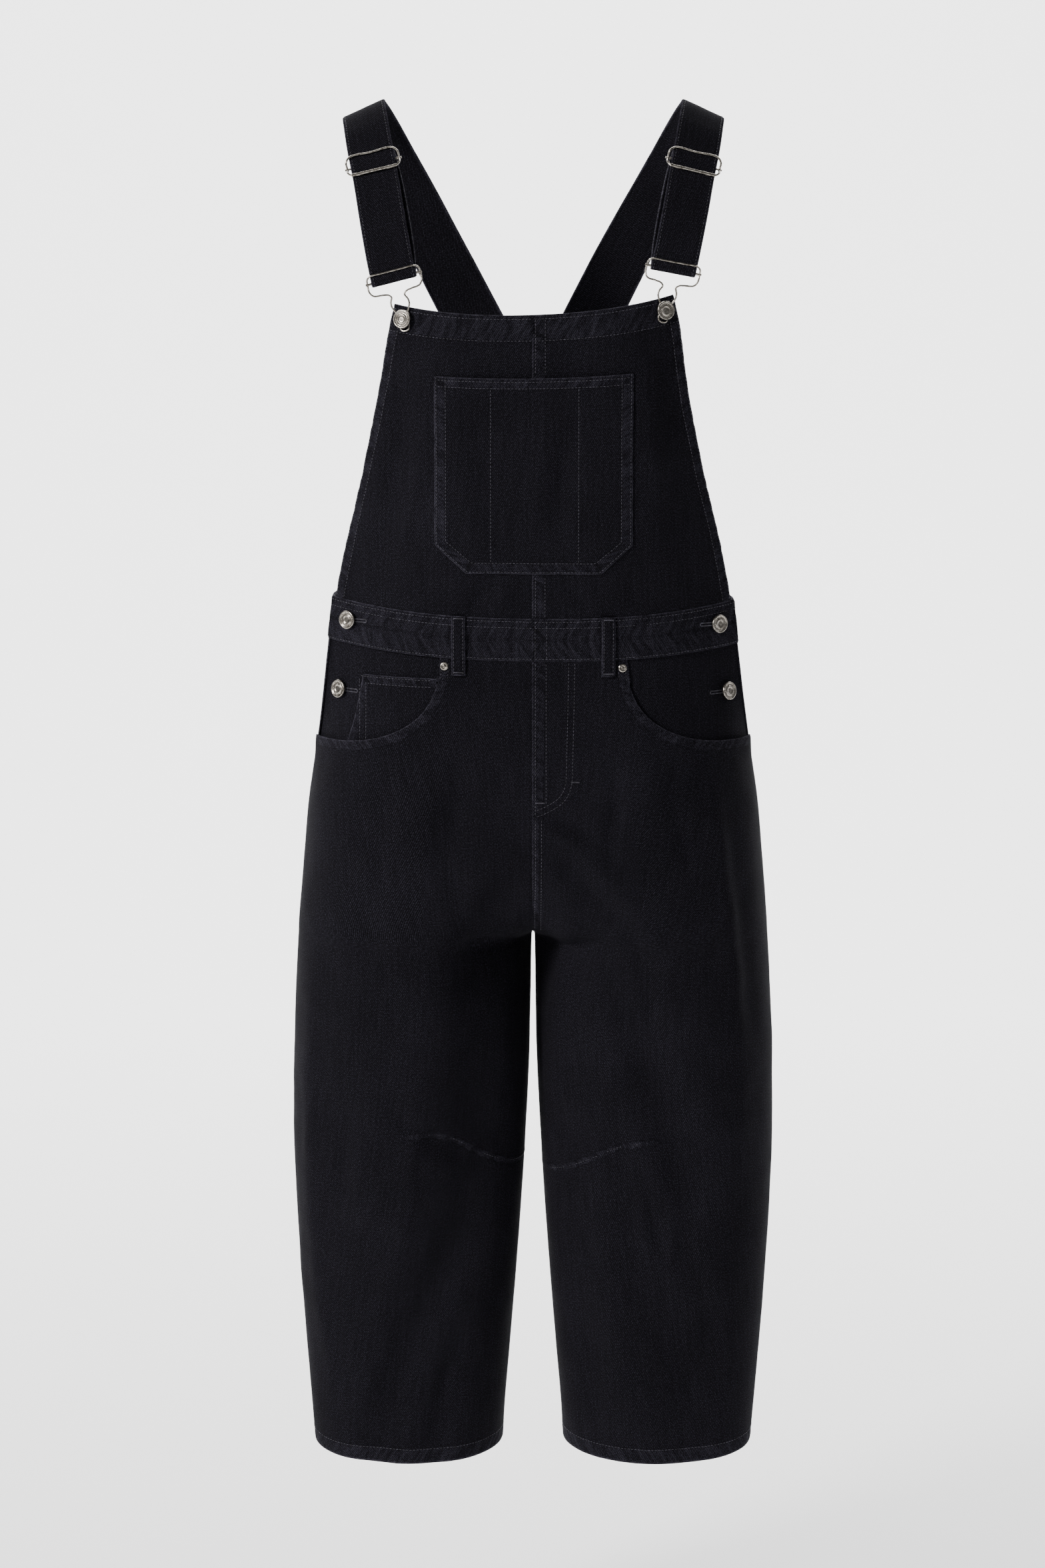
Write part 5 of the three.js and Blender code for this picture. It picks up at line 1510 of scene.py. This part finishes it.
def hook_place(sign):
    """Point of the hook from its own across, up and out, from the button's middle."""
    origin, out = metal_place(sign, BIB_BUTTON["x"], BIB_BUTTON["z"], 0)
    end = {key: value[-1] for key, value in strap_frames(np.array([0.0, 1.0])).items()}
    bar = end["middle"] - end["normal"] * STRAP["return_gap"] / 2
    high = frame_matrix(bar, -end["along"], end["normal"])

    def on_strap(a, b, n):
        point = np.array(high @ (Vector((a * sign, b - HOOK_BAR["b"], n - HOOK_BAR["n"])) * MM)) / MM
        point[0] *= sign
        return lean(point[None, :])[0]

    low = frame_matrix(origin, on_strap(0, HOOK_BAR["b"], HOOK_BAR["n"]) - origin, out)

    def place(a, b, n):
        share = float(ease(np.array(b / (HOOK_BAR["b"] - 6))))
        near = np.array(low @ (Vector((a, b, n)) * MM)) / MM
        return mix(near, on_strap(a, b, n), share)

    return place


def slider_lines(matrix):
    """The slider's bent frame, its crossbar and its thicker lower bar."""
    f = SLIDER_FRAME
    proud = f["crossbar"] + STRAP["thick"] + 2 * GAP + WIRE["slider"] + f["bend"]
    inner, low, high = f["half"] - f["corner"], f["corner"] - f["down"], f["up"] - f["corner"]
    loop = [(0, f["up"], proud), (inner, f["up"], proud), (f["half"], high, proud - 1.4),
            (f["half"], 0, 0.4),
            (f["half"], low, proud - 1.4), (inner, -f["down"], proud), (0, -f["down"], proud),
            (-inner, -f["down"], proud), (-f["half"], low, proud - 1.4), (-f["half"], 0, 0.4),
            (-f["half"], high, proud - 1.4), (-inner, f["up"], proud)]
    bar_z = proud + f["bar"] - WIRE["slider"]
    lines = [
        (closed_curve(loop, 96), WIRE["slider"], True),
        (np.array([(-f["pin"], 0, 0), (f["pin"], 0, 0)]), f["crossbar"], False),
        (np.array([(-inner - 1, -f["down"], bar_z), (inner + 1, -f["down"], bar_z)]), f["bar"], False),
    ]
    return [([matrix @ (Vector(p) * MM) / MM for p in points], radius, closed) for points, radius,
            closed in lines]


class DUNGAREES_OT_hooks(Maker, bpy.types.Operator):
    """Makes the wire hooks and the strap sliders"""
    bl_idname = "dungarees.hooks"
    bl_label = "Hooks and sliders"

    def execute(self, context):
        at = strap_frames(np.array([0.0, round(SLIDER_AT * STRAP_PARTS) / STRAP_PARTS]))
        for name, sign in SIDES:
            place = hook_place(sign)
            half = [place(*p) for p in HOOK_WIRE]
            other = [place(-a, b, n) for a, b, n in HOOK_WIRE[-2:0:-1]]
            bar = [place(end * HOOK_BAR["half"], HOOK_BAR["b"], HOOK_BAR["n"]) for end in (-1, 1)]
            mesh = wire_mesh(f"hook_{name}_metal", [(closed_curve(half + other, 150), WIRE["hook"], True),
                                                    (np.array(bar), WIRE["crossbar"], False)])
            finish_metal(f"hook_{name}_metal", f"hook_{name}", mesh)
            behind = STRAP["thick"] / 2 + GAP + SLIDER_FRAME["crossbar"]
            origin = (at["middle"][1] - at["normal"][1] * behind) * (sign, 1, 1)
            out, up = at["normal"][1] * (sign, 1, 1), -at["along"][1] * (sign, 1, 1)
            origin = lean(origin[None, :])[0]
            mesh = wire_mesh(f"slider_{name}_metal", slider_lines(frame_matrix(origin, up, out)))
            finish_metal(f"slider_{name}_metal", f"slider_{name}", mesh)
        return {"FINISHED"}


def offset_line(x, z, distance):
    """A line of points moved sideways by a distance."""
    dx, dz = np.gradient(x), np.gradient(z)
    length = np.hypot(dx, dz)
    return x - distance * dz / length, z + distance * dx / length


KNEE_SEAMS = {
    -1: ((-5, -992), (-20, -991), (-34, -984), (-50, -975), (-62, -967), (-76, -960), (-88, -957),
         (-117, -956)),
    1: ((15, -1000), (30, -994), (50, -983), (64, -975), (78, -968), (96, -964), (114, -963)),
}
FLY_J = ((38, -509), (37, -560), (36, -600), (35.5, -616), (33, -627), (27, -636), (17, -643),
         (8, -647.5), (3, -649))


class DUNGAREES_OT_stitching(Maker, bpy.types.Operator):
    """Sews every row of stitches that shows"""
    bl_idname = "dungarees.stitching"
    bl_label = "Stitching"

    def execute(self, context):
        self.waistband()
        self.bib()
        self.pocket()
        self.hips()
        self.legs()
        self.straps_and_loops()
        return {"FINISHED"}

    def waistband(self):
        rows = []
        s = np.linspace(0.004, 1.996, 500)
        for sign in (1, -1):
            for down in (3.0, 8.6):
                thread_row(rows, *garment(sign, s, waist_top(s) - down, BAND_PROUD))
            thread_row(rows, *garment(sign, s, waist_bottom(s) + 1.9, BAND_PROUD))
        z = np.linspace(-471, -506, 30)
        thread_row(rows, *at_x("front", 0 * z + 12.2, z, BAND_PROUD))
        thread_row(rows, *at_x("front", 0 * z + 1.6, z, BAND_PROUD))
        stitches("waistband_stitching", rows)

    def bib(self):
        rows = []
        across = np.linspace(0.01, 0.99, 120)
        for sign in (1, -1):
            lay = lay_bib(sign)
            for down in (3.4, 23.4):
                sew(rows, lay, across, 0 * across + down)
            down = np.linspace(2, 276, 200)
            for inset in (CENTRE_ROW, 10.6):
                sew(rows, lay, 1 - inset / np.interp(down, (0, 278), (142, 200)), down)
        for low, high in ((-195, -244), (-430, -468)):
            z = np.linspace(low, high, 40)
            for x in (CENTRE_ROW, 10.6):
                thread_row(rows, *at_x("front", 0 * z + x, z, 0))
        stitches("bib_stitching", rows)

    def pocket(self):
        rows = []
        half, low_half = POCKET["half"], POCKET["bottom_half"]
        height = POCKET["top"] - POCKET["bottom"]
        for inset in (1.9, 10.4):
            corner = np.array([(-half + inset, 0), (-half + inset, 155 - 0.3 * inset),
                               (-low_half + 0.5 * inset, height - inset),
                               (low_half - 0.5 * inset, height - inset),
                               (half - inset, 155 - 0.3 * inset), (half - inset, 0)])
            run = run_along(corner)
            t = np.linspace(0, run[-1], 240)
            self.on_pocket(rows, np.interp(t, run, corner[:, 0]), np.interp(t, run, corner[:, 1]))
        x = np.linspace(-half + 3, half - 3, 100)
        for deep in (3.4, 9.4):
            self.on_pocket(rows, x, 0 * x + deep)
        deep = np.linspace(10, height - 11, 80)
        for pen in (-39.0, 41.0):
            self.on_pocket(rows, 0 * deep + pen, deep)
        stitches("bib_pocket_stitching", rows)

    def on_pocket(self, rows, x, deep):
        """A row at places of the pocket, given across and down from its top edge."""
        height, straight = POCKET["top"] - POCKET["bottom"], POCKET["top"] - POCKET["chamfer_top"]
        half = mix(POCKET["half"], POCKET["bottom_half"],
                   np.clip((deep - straight) / (height - straight), 0, 1))
        sew(rows, lay_bib_pocket, (x / half + 1) / 2, deep / height)

    def hips(self):
        rows = []
        x, z, _ = mouth_curve(120)
        for sign in (1, -1):
            for inset in (1.9, 8.3):
                xs, zs = offset_line(x, z, -inset)
                keep = (zs < waist_bottom(np.zeros(1))[0] - 1) & (xs < 206)
                thread_row(rows, *at_x("front", sign * xs[keep], zs[keep], 0))
        z = np.linspace(-510, -648, 80)
        for x in (CENTRE_ROW, 11.6):
            shown = z if x < 5 else z[:74]
            thread_row(rows, *at_x("front", 0 * shown + x, shown, 0))
        z = np.linspace(-652, -764, 60)
        for x in (CENTRE_ROW, 7.4):
            thread_row(rows, *at_x("front", 0 * z + x, z, 0))
        fly = np.array(FLY_J, float)
        run = run_along(fly)
        t = np.linspace(0, run[-1], 120)
        xs, zs = catmull_rom(fly, np.interp(t, run, np.linspace(0, 1, len(fly)))).T
        for inset in (0.0, 5.6):
            moved_x, moved_z = offset_line(xs, zs, -inset) if inset else (xs, zs)
            keep = moved_x > 2
            thread_row(rows, *at_x("front", moved_x[keep], moved_z[keep], 0))
        bartack(rows, "front", 38.5, -617.5, 8, False, 0)
        bartack(rows, "front", 6.5, -636.5, 9, False, 0)
        coin = pocket_depth(1)
        z = np.linspace(-527, -585, 40)
        for inset in (1.9, 7.8):
            thread_row(rows, *at_x("front", 0 * z - 163 + inset, z - inset * (z > -530), -coin))
            xs = np.linspace(-162 + inset, -94, 50)
            thread_row(rows, *at_x("front", xs, 0 * xs - 525 - inset, -coin))
        z = np.linspace(-512, -770, 120)
        for x in (CENTRE_ROW, 8.0):
            thread_row(rows, *at_x("back", 0 * z + x, z, 0))
        stitches("hip_stitching", rows)
        self.buttonholes()

    def buttonholes(self):
        """Tight stitches round each keyhole slit, whose inner end shows beside its button."""
        rows = []
        for sign in (1, -1):
            for _, x, z, on_band in BUTTON_SPOTS:
                offset = BAND_PROUD + 0.3 if on_band else -pocket_depth(sign) + 0.1
                for k in range(HOLE["side"]):
                    place = x - HOLE["reach"] + HOLE["pitch"] * k
                    for edge in (-1, 1):
                        t = np.array([0.3, 2.2]) * edge
                        points, normals = at_x("front", sign * (place + 0 * t), z + t, offset)
                        thread_row(rows, points, normals, pitch=2.0)
                for k in range(HOLE["end"]):
                    angle = math.pi * (0.5 + k / (HOLE["end"] - 1))
                    t = np.array([0.6, 2.4])
                    points, normals = at_x("front", sign * (x - HOLE["reach"] + t * math.cos(angle)),
                                           z + t * math.sin(angle), offset)
                    thread_row(rows, points, normals, pitch=2.0)
        stitches("buttonhole_stitching", rows)

    def legs(self):
        for name, sign in SIDES:
            rows = []
            for face in ("front", "back"):
                share = np.linspace(0.004, 0.996, 140)
                lay = lay_leg(sign, face)
                edge = TOP_BLOCK + LEG_BLOCK_TOP - (HEM_SIDE_Z + HEM_TURN)
                sew(rows, lay, share, 0 * share + edge - HEM_FOLD + 1)
            path = np.array(KNEE_SEAMS[sign], float)
            t = np.linspace(0, 1, 80)
            xs, zs = catmull_rom(path, t).T
            thread_row(rows, *at_x("front", xs, zs + 2.2, 0))
            stitches(f"leg_stitching_{name}", rows)

    def straps_and_loops(self):
        for name, sign in SIDES:
            rows = []
            lay, count = lay_strap(sign)
            k = np.arange(count, dtype=float)
            for across in (0.065, 0.935):
                sew(rows, lay, 0 * k + across, k)
            stitches(f"strap_stitching_{name}", rows)
        rows = []
        for _, face, x, top in loop_places():
            lay = lay_loop(face, x, top)
            down = np.linspace(1, 54, 40)
            for across in (0.17, 0.83):
                sew(rows, lay, 0 * down + across, down)
            for down_at in (2.4, 52.0):
                for k in range(14):
                    t = np.array([0.14, 0.22]) + 0.05 * k
                    points, normals, _, _ = lay(t, down_at + np.array([-0.8, 0.8]))
                    thread_row(rows, points, normals, pitch=2.0)
        down = np.linspace(0.02, 0.99, 120)
        for across in (0.012, 0.045, 0.955, 0.988):
            sew(rows, lay_back_bib, 0 * down + across, down)
        stitches("loop_and_back_stitching", rows)


# Stage

def area_light(name, place, target, size, power, colour):
    data = bpy.data.lights.new(name, "AREA")
    data.shape = "RECTANGLE"
    data.size, data.size_y = size
    data.energy = power
    data.color = linear(colour)[:3]
    light = bpy.data.objects.new(name, data)
    light.location = place
    light.rotation_euler = (Vector(target) - Vector(place)).to_track_quat("-Z", "Y").to_euler()
    bpy.context.scene.collection.objects.link(light)


class DUNGAREES_OT_stage(Maker, bpy.types.Operator):
    """Makes the camera, the lights and the paper floor that curves up behind"""
    bl_idname = "dungarees.stage"
    bl_label = "Camera, lights and floor"

    def execute(self, context):
        look = context.scene.dungarees_stage
        data = bpy.data.cameras.new("camera")
        data.sensor_width = 36.0
        data.lens = 36.0 * CAMERA["focal_px"] / CAMERA["long_px"]
        camera = bpy.data.objects.new("camera", data)
        camera.location = (CAMERA["x"], CAMERA["y"], CAMERA["z"])
        camera.rotation_euler = (math.radians(90 - CAMERA["tilt"]), 0, 0)
        context.scene.collection.objects.link(camera)
        context.scene.camera = camera

        bm = bmesh.new()
        bmesh.ops.create_grid(bm, x_segments=1, y_segments=1, size=PAPER["half"])
        far = [e for e in bm.edges if all(v.co.y > PAPER["half"] - 0.1 for v in e.verts)]
        wall = bmesh.ops.extrude_edge_only(bm, edges=far)["geom"]
        bmesh.ops.translate(bm, vec=(0, 0, PAPER["rise"]),
                            verts=[g for g in wall if isinstance(g, bmesh.types.BMVert)])
        bmesh.ops.bevel(bm, geom=far, offset=PAPER["curve"], segments=24, profile=0.5, affect="EDGES", material=-1)
        bmesh.ops.translate(bm, vec=(0, 0, look.floor), verts=bm.verts)
        mesh = mesh_from(bm, "paper_floor")
        smooth(mesh)
        floor = bpy.data.objects.new("paper_floor", mesh)
        context.scene.collection.objects.link(floor)
        mesh.materials.append(MATERIALS["paper"]())

        world = bpy.data.worlds.new("studio")
        world.use_nodes = True
        background = world.node_tree.nodes["Background"]
        background.inputs["Color"].default_value = linear("#ffffff")
        background.inputs["Strength"].default_value = look.sky
        context.scene.world = world
        middle = (0, 0, -0.65)
        area_light("key_light", (-2.9, -2.6, 1.3), middle, (0.9, 1.2), look.key, "#fffcfa")
        area_light("rim_light", (3.0, 1.0, 0.3), middle, (1.2, 3.0), look.rim, "#f8f8ff")
        area_light("backdrop_light", (0, 3.4, 3.0), (0, 4.2, look.floor), (7.0, 4.0), look.backdrop,
                   "#ffffff")
        return {"FINISHED"}


class DUNGAREES_PT_panel(bpy.types.Panel):
    """Lists the steps that build the dungarees"""
    bl_idname = "DUNGAREES_PT_panel"
    bl_label = "Dungarees"
    bl_space_type = "VIEW_3D"
    bl_region_type = "UI"
    bl_category = "Dungarees"

    def draw(self, context):
        layout = self.layout
        for group in (getattr(context.scene, name) for name, _ in GROUPS):
            for name in group.__annotations__:
                layout.prop(group, name)
        for step in STEPS:
            layout.operator(step.bl_idname)


STEPS = (
    DUNGAREES_OT_stage, DUNGAREES_OT_legs, DUNGAREES_OT_pockets, DUNGAREES_OT_waistband, DUNGAREES_OT_bib,
    DUNGAREES_OT_bib_pocket, DUNGAREES_OT_back_panel, DUNGAREES_OT_belt_loops, DUNGAREES_OT_straps,
    DUNGAREES_OT_hooks, DUNGAREES_OT_buttons, DUNGAREES_OT_stitching,
)
GROUPS = (
    ("dungarees_cloth", DUNGAREES_PG_cloth), ("dungarees_metal", DUNGAREES_PG_metal),
    ("dungarees_stage", DUNGAREES_PG_stage),
)


def register():
    for _, group in GROUPS:
        bpy.utils.register_class(group)
    for step in (*STEPS, DUNGAREES_PT_panel):
        bpy.utils.register_class(step)
    for name, group in GROUPS:
        setattr(bpy.types.Scene, name, PointerProperty(type=group))


def unregister():
    for name, _ in GROUPS:
        delattr(bpy.types.Scene, name)
    for step in (DUNGAREES_PT_panel, *reversed(STEPS)):
        bpy.utils.unregister_class(step)
    for _, group in GROUPS:
        bpy.utils.unregister_class(group)


def main():
    register()
    for step in STEPS:
        group, name = step.bl_idname.split(".")
        getattr(getattr(bpy.ops, group), name)()


if __name__ == "__main__":
    main()
